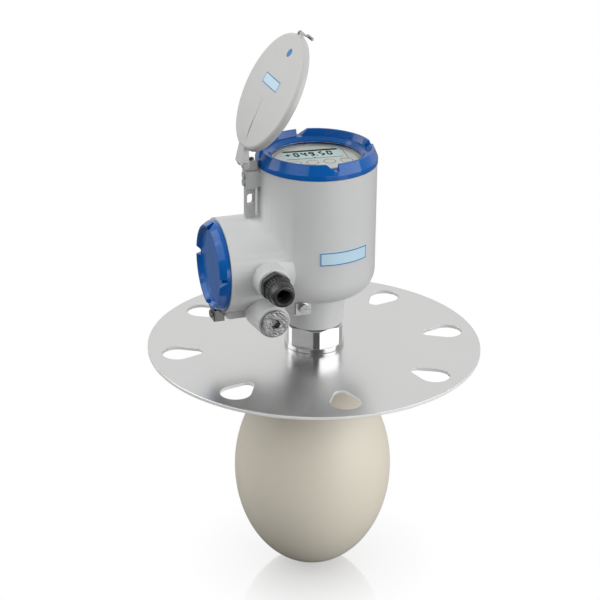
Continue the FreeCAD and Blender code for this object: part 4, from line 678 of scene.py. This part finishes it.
class TransmitterStage(bpy.types.PropertyGroup):
    """Camera, floor and lamps."""
    focal: bpy.props.FloatProperty(name="Focal length", description="Lens in millimetres on 36 mm",
                                   default=118.2, min=10.0, max=400.0)
    distance: length_property("Distance", "Camera from the point it looks at", 1763.7)
    azimuth: angle_property("Azimuth", "Camera's turn about Z", math.radians(-19.0))
    elevation: angle_property("Elevation", "Camera above the level", 0.412)
    roll: angle_property("Roll", "Camera's turn about its own axis", 0.0103)
    sideways: length_property("Aim sideways", "Point looked at, to the right of the axis", -13.05)
    height: length_property("Aim height", "Point looked at, above the plate", 43.92)
    key: level_property("Key", "Power of the key lamp", 36.0, unit="POWER")
    fill: level_property("Fill", "Power of the fill lamp", 13.0, unit="POWER")
    top: level_property("Top", "Power of the lamp above", 8.0, unit="POWER")
    low: level_property("Low", "Power of the lamp near the floor", 9.0, unit="POWER")
    front: level_property("Front", "Level of the room behind the camera", 0.40)
    gloss: level_property("Gloss", "Level that gloss shows behind the camera", 0.12)
    back: level_property("Back", "Level of the backdrop", 0.88)


# Operators, one for each piece or group of like pieces.
class DressDrop(bpy.types.Operator):
    """Turn the drop antenna from its rule: two half ellipses, a neck and a stub"""
    bl_idname = "transmitter.dress_drop"
    bl_label = "Drop antenna"

    ROWS = {"egg": 110, "neck": 4, "shoulder": 3, "stub": 2, "crown": 2}

    def execute(self, context):
        form = context.scene.transmitter_drop
        material = machined_polymer("drop_polymer", context.scene.transmitter_paint.antenna)
        values = {"Radius": form.radius, "Depth": form.depth, "Lower": form.lower, "Upper": form.upper}
        thing = grown("drop_antenna_turned", self.drop_tree(form, material, values), values)
        stands_for(put_on(shade(thing, angle=40.0), material), "drop_antenna")
        return {"FINISHED"}

    def drop_tree(self, form, material, values):
        """The node tree of the drop: a grid wrapped round the axis, row by row from the tip."""
        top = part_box("drop_antenna")[1].z
        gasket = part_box("drop_gasket")[0].z
        tree, graph, entry = tree_with("drop_form", values)
        radius, depth, lower, upper = (entry.also(name) for name in values)
        total = sum(self.ROWS.values())
        grid = graph.named("GeometryNodeMeshGrid", Size_X=1.0, Size_Y=1.0,
                           Vertices_X=form.segments + 1, Vertices_Y=total + 1)
        spot = graph.parts(graph.add("GeometryNodeInputPosition"))
        turn = (spot + 0.5) * math.tau
        row = (spot.also(1) + 0.5) * float(total)
        share = {}
        start = 0
        for stretch, rows in self.ROWS.items():
            share[stretch] = ((row - float(start)) / float(rows)).clamped()
            start += rows
        neck_latitude = math.acos(form.neck / form.radius)
        latitude = share["egg"] * (neck_latitude + math.pi / 2.0) - math.pi / 2.0
        rise = latitude.math("SINE")
        below = rise < 0.0
        height = rise * (below * lower + (1.0 - below) * upper) - depth
        neck_foot = form.upper * math.sin(neck_latitude) - form.depth
        height = height + share["neck"] * (gasket - neck_foot) + share["stub"] * (top - gasket)
        reach = latitude.math("COSINE") * radius
        reach = reach - share["shoulder"] * (form.neck - form.stub) - share["crown"] * form.stub
        place = graph.vector(reach * turn.math("COSINE"), reach * turn.math("SINE"), height)
        formed = graph.named("GeometryNodeSetPosition", Geometry=grid, Position=place)
        graph.deliver(graph.named("GeometryNodeMergeByDistance", Geometry=formed, Distance=WELD), material)
        return tree


class DressFlange(bpy.types.Operator):
    """Finish the brushed mounting plate and the turned adaptor"""
    bl_idname = "transmitter.dress_flange"
    bl_label = "Mounting plate"

    def execute(self, context):
        metal = context.scene.transmitter_metal
        sheet = rolled_sheet("plate_sheet", metal.sheet, roughness=0.25, grain=(20.0, 2400.0, 60.0),
                             turn=math.radians(-24.0), depth=0.006, cut=0.9)
        softened("flange_plate", sheet, width=0.3)
        softened("hex_adaptor", turned_metal("adaptor_turned", metal.turned, roughness=0.15), width=0.3)
        return {"FINISHED"}


class DressHousing(bpy.types.Operator):
    """Finish the housing casting, its bare name plate and the earth terminal"""
    bl_idname = "transmitter.dress_housing"
    bl_label = "Housing"

    LABEL_ANGLE = math.radians(-79.6)
    LABEL_SPREAD = math.radians(50.6)
    LABEL_RADIUS = 53.1 * MM
    LABEL_LINE = 0.9 * MM
    SCREW_AXIS = (-20.5 * MM, 0.0, 51.4 * MM)

    def execute(self, context):
        paint = context.scene.transmitter_paint
        metal = context.scene.transmitter_metal
        softened("housing", powder_coat("housing_coat", paint.housing), width=0.0, angle=12.0)
        label = framed_plate("plate_film", paint.plate, paint.border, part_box("name_plate"),
                             self.LABEL_ANGLE, self.LABEL_SPREAD, self.LABEL_RADIUS, self.LABEL_LINE)
        softened("name_plate", label, width=0.0)
        steel = rolled_sheet("terminal_steel", metal.turned, roughness=0.3, grain=(900.0, 30.0, 30.0))
        softened("earth_clamp", steel)
        screw = turned_metal("screw_steel", metal.turned, centre=self.SCREW_AXIS, axis="Y")
        softened("earth_screw", screw, width=0.2)
        softened("earth_washer", steel, width=0.15)
        return {"FINISHED"}


class DressCaps(bpy.types.Operator):
    """Finish the two screw caps, the window and the cap lock"""
    bl_idname = "transmitter.dress_caps"
    bl_label = "Caps"

    GLASS_TINT = (0.98, 0.99, 0.985)

    def execute(self, context):
        enamel = gloss_enamel("cap_enamel", context.scene.transmitter_paint.caps)
        for node in ("display_cap", "side_cap"):
            softened(node, enamel, width=0.8, segments=4)
        softened("window_glass", clear_pane("window_pane", self.GLASS_TINT), width=0.2)
        lock = rolled_sheet("lock_steel_brushed", context.scene.transmitter_metal.dark, roughness=0.34)
        softened("cap_lock", lock)
        softened("cap_lock_screw", lock, width=0.2)
        return {"FINISHED"}


class DressLid(bpy.types.Operator):
    """Finish the weather lid, its hinge, its bracket and its latch"""
    bl_idname = "transmitter.dress_lid"
    bl_label = "Weather lid"

    HINGE = (-66.5 * MM, 0.0, 180.5 * MM)
    OPENING = math.radians(62.0)
    MARKS = {
        "level": 9.5 * MM,
        "along": 74.7 * MM, "length": 9.4 * MM, "across": -5.4 * MM, "width": 34.4 * MM,
        "line": 0.9 * MM,
        "dot_along": 103.8 * MM, "dot_across": -8.1 * MM, "dot_radius": 3.9 * MM,
    }
    # The bracket wears the housing's paint, darkened here as painted shade.
    BRACKET_PAINTED_SHADE = 0.72
    PIN_SHADE = 0.6

    def execute(self, context):
        paint = context.scene.transmitter_paint
        metal = context.scene.transmitter_metal
        coat = printed_lid("lid_coat", paint.lid, paint.plate, paint.border, self.HINGE,
                           self.OPENING, self.MARKS)
        softened("weather_lid", coat, width=0.3)
        # Bracket and its screws: housing paint with painted shade in its colour.
        sheet = powder_coat("bracket_coat", rgba(paint.housing, self.BRACKET_PAINTED_SHADE))
        softened("hinge_bracket", sheet, width=0.4)
        leaf = rolled_sheet("leaf_sheet", metal.dark, roughness=0.3, grain=(40.0, 40.0, 900.0))
        softened("hinge_leaf", leaf)
        pin = turned_metal("pin_turned", rgba(metal.turned, self.PIN_SHADE), roughness=0.36,
                           centre=self.HINGE, axis="Y")
        softened("hinge_pin", pin, width=0.2)
        softened("bracket_screws", sheet, width=0.15)
        softened("lid_latch", leaf, width=0.15)
        softened("latch_pin", pin, width=0.1)
        return {"FINISHED"}


class DressGland(bpy.types.Operator):
    """Finish the cable gland and the blanking plug"""
    bl_idname = "transmitter.dress_gland"
    bl_label = "Cable gland"

    MOUTH = Vector((-56.3, -56.0, 88.5)) * MM
    # The dome nut's section: radius and height above the mouth, in millimetres.
    PROFILE = [(6.3, 7.5), (10.7, 7.5), (10.9, 7.9), (10.9, 17.6), (11.1, 18.6), (10.9, 20.4),
               (10.7, 22.4), (10.4, 24.2), (9.9, 25.6), (9.2, 26.6), (8.6, 26.9), (7.5, 26.9), (7.1, 26.6),
               (6.9, 26.1), (6.7, 26.0), (6.3, 26.2), (6.1, 25.8), (6.1, 9.0), (6.3, 7.5)]
    RIB_MIDDLE = 13.2
    RIB_SIDES = 8
    RUBBER_SHADE = 0.12
    PLUG_SHADE = 0.6

    def execute(self, context):
        paint = context.scene.transmitter_paint
        gland = context.scene.transmitter_gland
        black = moulded("gland_black", paint.gland, roughness=0.27, depth=0.06)
        softened("gland_body", black)
        dome = lathe("gland_dome", self.PROFILE, segments=96)
        values = {"Count": gland.ribs, "Radius": gland.radius, "Length": gland.length,
                  "Width": gland.width}
        nut = joined("gland_nut_ribbed", [dome, grown("gland_ribs", self.rib_tree(black, values), values)],
                     black)
        nut.data.transform(Matrix.Translation(self.MOUTH) @ Matrix.Rotation(math.radians(90.0), 4, "X"))
        stands_for(shade(nut), "gland_nut")
        rubber = moulded("gland_rubber_black", rgba(paint.gland, self.RUBBER_SHADE), roughness=0.7)
        put_on(NODES["pressure_ring"], rubber)
        softened("gland_seal", rubber, width=0.3)
        bright = rgba(context.scene.transmitter_metal.turned, self.PLUG_SHADE)
        softened("blanking_plug", cast_bright("plug_bright", bright), width=0.3)
        return {"FINISHED"}

    def rib_tree(self, material, values):
        """The node tree of the nut's grip ribs, standing in a ring."""
        tree, graph, entry = tree_with("rib_ring", values)
        ring = graph.named("GeometryNodeMeshCircle", Vertices=entry, Radius=entry.also("Radius"))
        rib = graph.named("GeometryNodeMeshCylinder", Vertices=self.RIB_SIDES,
                          Radius=entry.also("Width") * 0.5, Depth=entry.also("Length"))
        copies = graph.named("GeometryNodeInstanceOnPoints", Points=ring, Instance=rib)
        moved = graph.named("GeometryNodeTranslateInstances", Instances=copies,
                            Translation=graph.vector(z=self.RIB_MIDDLE * MM))
        graph.deliver(moved, material)
        return tree


class DressDisplay(bpy.types.Operator):
    """Print the display plate, its keys and a plain number on the screen"""
    bl_idname = "transmitter.dress_display"
    bl_label = "Display"

    # The bars of each mark, and the ends of each bar as columns and rows of a digit.
    SEGMENTS = {"0": "abcdef", "1": "bc", "2": "abged", "3": "abgcd", "4": "fgbc", "5": "afgcd",
                "6": "afgedc", "7": "abc", "8": "abcdefg", "9": "abcdfg", "+": "vh", "-": "h"}
    SEGMENT_ENDS = {"a": (0, 2, 1, 2), "b": (1, 2, 1, 1), "c": (1, 1, 1, 0), "d": (1, 0, 0, 0),
                    "e": (0, 0, 0, 1), "f": (0, 1, 0, 2), "g": (0, 1, 1, 1)}
    # Millimetres, from the middle of the display before its turn.
    PLATE_EDGE = 0.4
    PRINT_HEIGHT = 0.04
    SCREEN_HALF = 25.5
    SCREEN_NEAR = 4.15
    SCREEN_FAR = 26.65
    READING_MIDDLE = 15.8
    READING_START = -24.6
    DIGIT_WIDTH = 5.4
    DIGIT_PITCH = 6.9
    DOT_BACK = 1.0
    DOT_PITCH = 2.2
    SIGN_REACH = 2.7
    SIGN_PITCH = 7.6
    # The band is the screen's dark bar, made wide enough to also carry the painted shadow of the window's
    # frame.
    BAND_INSET = 2.1
    BAND_AND_SHADOW_WIDTH = 3.8
    RULE_INSET = 0.9
    RULE_WIDTH = 0.7
    TICK_INSET = 1.8
    TICK_HALF = 1.2
    TICK_WIDTH = 2.0
    BRACE_SIDE = 3.5
    BRACE_TOP_INSET = 2.0
    BRACE_TOP_GAP = 0.5
    BRACE_DROP = 4.5
    BRACE_RETURN = 4.0
    BRACE_WIDTH = 0.45
    KEY_OFFSET = -5.2
    KEY_SIDEWAYS = 3.0
    KEY_RADIUS = 5.2
    KEY_LINE = 0.42
    KEY_STEPS = 40

    def execute(self, context):
        display = context.scene.transmitter_display
        ink = printed_film("dark_print", display.ink, roughness=0.6, shine=0.0)
        plate = self.plate(display)
        screen = self.screen(display)
        marks = self.print_on("reading_marks", self.reading(display) + self.screen_lines(), "lcd_module", ink)
        lines = self.print_on("printed_lines", self.brace(), "display_plate", ink)
        values = {"Count": display.keys, "Pitch": display.pitch, "Radius": self.KEY_RADIUS * MM}
        keys = put_on(grown("key_outlines", self.key_tree(ink, values), values), ink)
        for thing in (plate, screen, marks, lines, keys):
            thing.data.transform(Matrix.Rotation(display.turn, 4, "Z"))
        stands_for(plate, "display_plate")
        stands_for(screen, "lcd_module")
        stands_for(keys, "display_keys")
        for thing in (marks, lines):
            rides_with(thing, "lcd_module", SLOT_OF["display_keys"])
        return {"FINISHED"}

    def plate(self, display):
        """The printed plate round the screen."""
        low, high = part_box("display_plate")
        foot, top, radius = low.z / MM, high.z / MM, high.x / MM
        profile = [(0.0, foot), (radius, foot), (radius, top - self.PLATE_EDGE),
                   (radius - self.PLATE_EDGE, top), (0.0, top)]
        film = printed_film("plate_print", display.film, roughness=0.34, shine=0.4)
        return put_on(shade(lathe("display_plate_printed", profile)), film)

    def screen(self, display):
        """The liquid crystal screen."""
        corners = [(-self.SCREEN_HALF, self.SCREEN_NEAR), (self.SCREEN_HALF, self.SCREEN_NEAR),
                   (self.SCREEN_HALF, self.SCREEN_FAR), (-self.SCREEN_HALF, self.SCREEN_FAR)]
        slab = prisms("lcd_screen", [corners], top_of("display_plate") - self.PLATE_EDGE,
                      top_of("lcd_module"))
        return put_on(slab, crystal_face("crystal", display.face))

    def print_on(self, name, outlines, node, ink):
        """A thin layer of ink on a node's top face."""
        level = top_of(node)
        return put_on(prisms(name, outlines, level, level + self.PRINT_HEIGHT), ink)

    def screen_lines(self):
        """Outlines of the band above the reading, widened to hold the painted shadow of the window's frame,
        and of the rule and its tick below it.
        """
        half = self.SCREEN_HALF
        band = self.SCREEN_FAR - self.BAND_INSET
        rule = self.SCREEN_NEAR + self.RULE_INSET
        tick = self.SCREEN_NEAR + self.TICK_INSET
        return [bar((-half, band), (half, band), self.BAND_AND_SHADOW_WIDTH),
                bar((-half, rule), (half, rule), self.RULE_WIDTH),
                bar((-self.TICK_HALF, tick), (self.TICK_HALF, tick), self.TICK_WIDTH)]

    def brace(self):
        """Outlines of the thin line that runs round the screen's right side."""
        side = self.SCREEN_HALF + self.BRACE_SIDE
        top = self.SCREEN_FAR - self.BRACE_TOP_INSET
        foot = self.SCREEN_NEAR - self.BRACE_DROP
        return [bar((side, top), (side, foot), self.BRACE_WIDTH),
                bar((side, foot), (self.SCREEN_HALF - self.BRACE_RETURN, foot), self.BRACE_WIDTH),
                bar((side, top), (self.SCREEN_HALF + self.BRACE_TOP_GAP, top), self.BRACE_WIDTH)]

    def reading(self, display):
        """Outlines of the reading's bars, from left to right."""
        outlines = []
        stroke = display.stroke / MM
        height = display.digit / MM
        inner = stroke / 2.0
        reach = self.SIGN_REACH
        foot = self.READING_MIDDLE - height / 2.0
        left = self.READING_START
        for mark in display.reading:
            if mark == ".":
                start = left - self.DOT_BACK
                outlines.append(bar((start, foot + inner), (start + stroke, foot + inner), stroke))
                left += self.DOT_PITCH
                continue
            x = (left + inner, left + self.DIGIT_WIDTH - inner)
            y = (foot + inner, foot + height / 2.0, foot + height - inner)
            middle = (x[0] + x[1]) / 2.0
            places = {"h": ((middle - reach, y[1]), (middle + reach, y[1])),
                      "v": ((middle, y[1] - reach), (middle, y[1] + reach))}
            for part, (from_x, from_y, to_x, to_y) in self.SEGMENT_ENDS.items():
                places[part] = ((x[from_x], y[from_y]), (x[to_x], y[to_y]))
            outlines += [bar(*places[part], stroke) for part in self.SEGMENTS[mark]]
            left += self.SIGN_PITCH if mark in "+-" else self.DIGIT_PITCH
        return outlines

    def key_tree(self, ink, values):
        """The node tree of the row of key outlines."""
        tree, graph, entry = tree_with("key_row", values)
        pitch = entry.also("Pitch")
        first = (entry - 1.0) * pitch * -0.5 + self.KEY_SIDEWAYS * MM
        start = graph.vector(first, self.KEY_OFFSET * MM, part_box("display_plate")[1].z)
        row = graph.named("GeometryNodeMeshLine", Count=entry, Start_Location=start,
                          Offset=graph.vector(pitch))
        path = graph.named("GeometryNodeCurvePrimitiveCircle", Resolution=self.KEY_STEPS,
                           Radius=entry.also("Radius"))
        section = graph.named("GeometryNodeCurvePrimitiveQuadrilateral", Width=self.KEY_LINE * MM,
                              Height=2.0 * self.PRINT_HEIGHT * MM)
        ring = graph.named("GeometryNodeCurveToMesh", Curve=path, Profile_Curve=section)
        graph.deliver(graph.named("GeometryNodeInstanceOnPoints", Points=row, Instance=ring), ink)
        return tree


class DressInside(bpy.types.Operator):
    """Finish the inner pieces, the seals and the washers"""
    bl_idname = "transmitter.dress_inside"
    bl_label = "Inside"

    # Nodes in a moulded and in a sheet finish: its name, colour and roughness.
    MOULDED = {
        "drop_gasket": ("gasket_black", (0.05, 0.05, 0.05), 0.7),
        "feed_cone": ("feed_white", (0.82, 0.81, 0.77), 0.4),
        "display_carrier": ("carrier_black", (0.025, 0.025, 0.028), 0.45),
        "wire_feedthrough": ("potting_black", (0.02, 0.02, 0.022), 0.3),
        "terminal_board": ("board_green", (0.01, 0.10, 0.04), 0.35),
        "terminal_block": ("terminal_green", (0.015, 0.14, 0.06), 0.45),
        "window_gasket": ("gasket_grey", (0.80, 0.80, 0.74), 0.5),
        "window_ring": ("ring_grey", (0.80, 0.80, 0.76), 0.4),
    }
    SHEET = {
        "retaining_ring": ("spring_dark", (0.20, 0.19, 0.18), 0.35),
        "radar_module": ("module_cast", (0.55, 0.55, 0.55), 0.45),
        "electronics_can": ("can_sheet", (0.60, 0.60, 0.60), 0.35),
    }

    def execute(self, context):
        metal = context.scene.transmitter_metal
        bright = turned_metal("inner_turned", metal.turned)
        rubber = moulded("seal_black", (0.02, 0.02, 0.02), roughness=0.55)
        pale = moulded("washer_grey", (0.50, 0.50, 0.49), roughness=0.4)
        finishes = {
            "waveguide_tube": turned_metal("waveguide_brass", (0.72, 0.50, 0.20)),
            "electronics_plate": rolled_sheet("inner_sheet", metal.sheet, roughness=0.4),
            "thrust_washer": bright, "electronics_screws": bright, "terminal_screws": bright,
            "inner_earth_screw": bright,
            "stem_seal": rubber, "display_cap_seal": rubber, "side_cap_seal": rubber,
            "gland_washer": pale, "plug_washer": pale,
        }
        finishes |= {node: moulded(*row) for node, row in self.MOULDED.items()}
        finishes |= {node: rolled_sheet(*row) for node, row in self.SHEET.items()}
        for node, material in finishes.items():
            put_on(NODES[node], material)
        return {"FINISHED"}


class SetStage(bpy.types.Operator):
    """Set the camera, the pale floor and the studio lamps"""
    bl_idname = "transmitter.set_stage"
    bl_label = "Stage"

    SENSOR_WIDTH = 36.0
    CLIP_END = 60.0
    LAMPS = {
        "key": {"width": 2.1, "height": 2.1, "azimuth": 47.0, "elevation": 9.0, "distance": 2.3},
        "fill": {"width": 1.4, "height": 1.6, "azimuth": -116.0, "elevation": 34.0, "distance": 1.9},
        "top": {"width": 1.4, "height": 1.4, "azimuth": -58.0, "elevation": 48.0, "distance": 1.8},
        "low": {"width": 1.6, "height": 0.7, "azimuth": 20.0, "elevation": 2.0, "distance": 2.2},
    }
    FLOOR_HALF = 8.0
    FLOOR_DROP = 0.4 * MM
    SHADOW_REACH = 0.12
    SHADOW_SHARE = 0.58
    MIRROR_SHARE = 0.65
    FLOOR_SHADES = (0.62, 0.64)
    FLOOR_GREY = 0.12
    FLOOR_GLOSS_GREY = 0.10
    BACK_MIDDLE = 0.5
    BACK_SPREAD = 0.62

    def execute(self, context):
        stage = context.scene.transmitter_stage
        context.scene.view_settings.view_transform = "Standard"
        self.camera(context.scene, stage)
        self.floor()
        for name, box in self.LAMPS.items():
            self.lamp(name + "_lamp", getattr(stage, name), **box)
        self.world(context.scene, stage)
        return {"FINISHED"}

    @staticmethod
    def direction(azimuth, elevation):
        """From the object towards a camera or a lamp."""
        return Vector((math.sin(azimuth) * math.cos(elevation),
                       -math.cos(azimuth) * math.cos(elevation), math.sin(elevation)))

    def camera(self, scene, stage):
        """The camera at the photograph's place."""
        back = self.direction(stage.azimuth, stage.elevation)
        right = Vector((math.cos(stage.azimuth), math.sin(stage.azimuth), 0.0))
        above = back.cross(right)
        aim = right * stage.sideways + Vector((0.0, 0.0, stage.height))
        rolled_right = right * math.cos(stage.roll) + above * math.sin(stage.roll)
        rolled_above = above * math.cos(stage.roll) - right * math.sin(stage.roll)
        camera = bpy.data.objects.new("camera", bpy.data.cameras.new("camera"))
        camera.data.lens = stage.focal
        camera.data.sensor_width = self.SENSOR_WIDTH
        camera.data.clip_end = self.CLIP_END
        turn = Matrix((rolled_right, rolled_above, back)).transposed().to_4x4()
        camera.matrix_world = Matrix.Translation(aim + back * stage.distance) @ turn
        scene.collection.objects.link(camera)
        scene.camera = camera

    def lamp(self, name, power, width, height, azimuth, elevation, distance):
        """A soft box that faces the object, its place in degrees and metres."""
        light = bpy.data.lights.new(name, "AREA")
        light.shape = "RECTANGLE"
        light.size = width
        light.size_y = height
        light.energy = power
        thing = new_object(name, light)
        towards = self.direction(math.radians(azimuth), math.radians(elevation))
        thing.location = towards * distance
        thing.rotation_euler = towards.to_track_quat("Z", "Y").to_euler()

    @staticmethod
    def seen_directly(path):
        """One for rays that show the background itself, to the camera or through glass."""
        return (path + path.also("Is Transmission Ray")).clamped()

    def floor(self):
        """A pale floor just under the drop's tip: white where it is seen, and grey where it lights."""
        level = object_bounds()[0][2] - self.FLOOR_DROP
        half = self.FLOOR_HALF
        shape = bmesh.new()
        shape.faces.new([shape.verts.new((x, y, level)) for x, y in ((-half, -half), (half, -half),
                                                                    (half, half), (-half, half))])
        material, graph = new_material("pale_floor")
        place = graph.place(scale=(1.0, 1.0, 0.0))
        fleck = graph.noise(place, scale=3.0)
        reach = graph.add("ShaderNodeVectorMath", {"operation": "LENGTH"}, {0: place}, output=1)
        near = (1.0 - reach / self.SHADOW_REACH).clamped()
        path = graph.add("ShaderNodeLightPath")
        bare = graph.shades(fleck, WHITE, *self.FLOOR_SHADES)
        unseen = graph.shades(path.also("Is Glossy Ray"), WHITE, self.FLOOR_GREY, self.FLOOR_GLOSS_GREY)
        matte = graph.principled(Base_Color=graph.blend(path, unseen, bare),
                                 Roughness=0.12 + fleck * 0.04)
        mirror = graph.named("ShaderNodeBsdfGlossy", Color=WHITE, Roughness=0.08)
        polished = graph.mix(path * self.MIRROR_SHARE, matte, mirror)
        white = graph.named("ShaderNodeEmission", Color=WHITE, Strength=1.0)
        factor = self.seen_directly(path) * (1.0 - near * self.SHADOW_SHARE)
        graph.surface(graph.mix(factor, polished, white))
        put_on(from_bmesh("floor", shape), material)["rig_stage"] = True

    def world(self, scene, stage):
        """White where it is seen, elsewhere plain soft light that is brighter behind the object."""
        world = bpy.data.worlds.new("studio")
        world.use_nodes = True
        world.node_tree.nodes.clear()
        graph = Graph(world.node_tree)
        path = graph.add("ShaderNodeLightPath")
        behind = graph.dot(graph.add("ShaderNodeTexCoord"), -self.direction(stage.azimuth, 0.0))
        share = (behind * self.BACK_SPREAD + self.BACK_MIDDLE).clamped()
        front = stage.front + path.also("Is Glossy Ray") * (stage.gloss - stage.front)
        ambient = front + (stage.back - front) * share
        strength = ambient + self.seen_directly(path) * (1.0 - ambient)
        light = graph.named("ShaderNodeBackground", Color=WHITE, Strength=strength)
        graph.named("ShaderNodeOutputWorld", Surface=light)
        scene.world = world


PROPERTIES = {
    "transmitter_paint": TransmitterPaint,
    "transmitter_metal": TransmitterMetal,
    "transmitter_drop": TransmitterDrop,
    "transmitter_gland": TransmitterGland,
    "transmitter_display": TransmitterDisplay,
    "transmitter_stage": TransmitterStage,
}
OPERATORS = (SetStage, DressDrop, DressFlange, DressHousing, DressCaps, DressLid, DressGland,
             DressDisplay, DressInside)


class TransmitterPanel(bpy.types.Panel):
    """Sizes, colours and steps of the transmitter"""
    bl_idname = "VIEW3D_PT_transmitter"
    bl_label = "Transmitter"
    bl_space_type = "VIEW_3D"
    bl_region_type = "UI"
    bl_category = "Transmitter"

    def draw(self, context):
        for name, group in PROPERTIES.items():
            box = self.layout.box()
            box.label(text=group.__name__.replace("Transmitter", ""))
            for key in group.__annotations__:
                box.prop(getattr(context.scene, name), key)
        for operator in OPERATORS:
            self.layout.operator(operator.bl_idname)


CLASSES = (*PROPERTIES.values(), *OPERATORS, TransmitterPanel)


def register():
    for part in CLASSES:
        bpy.utils.register_class(part)
    for name, group in PROPERTIES.items():
        setattr(bpy.types.Scene, name, bpy.props.PointerProperty(type=group))


def unregister():
    for name in PROPERTIES:
        delattr(bpy.types.Scene, name)
    for part in reversed(CLASSES):
        bpy.utils.unregister_class(part)


def main():
    """Dresses the transmitter."""
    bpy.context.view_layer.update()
    register()
    for operator in OPERATORS:
        group, name = operator.bl_idname.split(".")
        getattr(getattr(bpy.ops, group), name)()


if __name__ == "__main__":
    main()
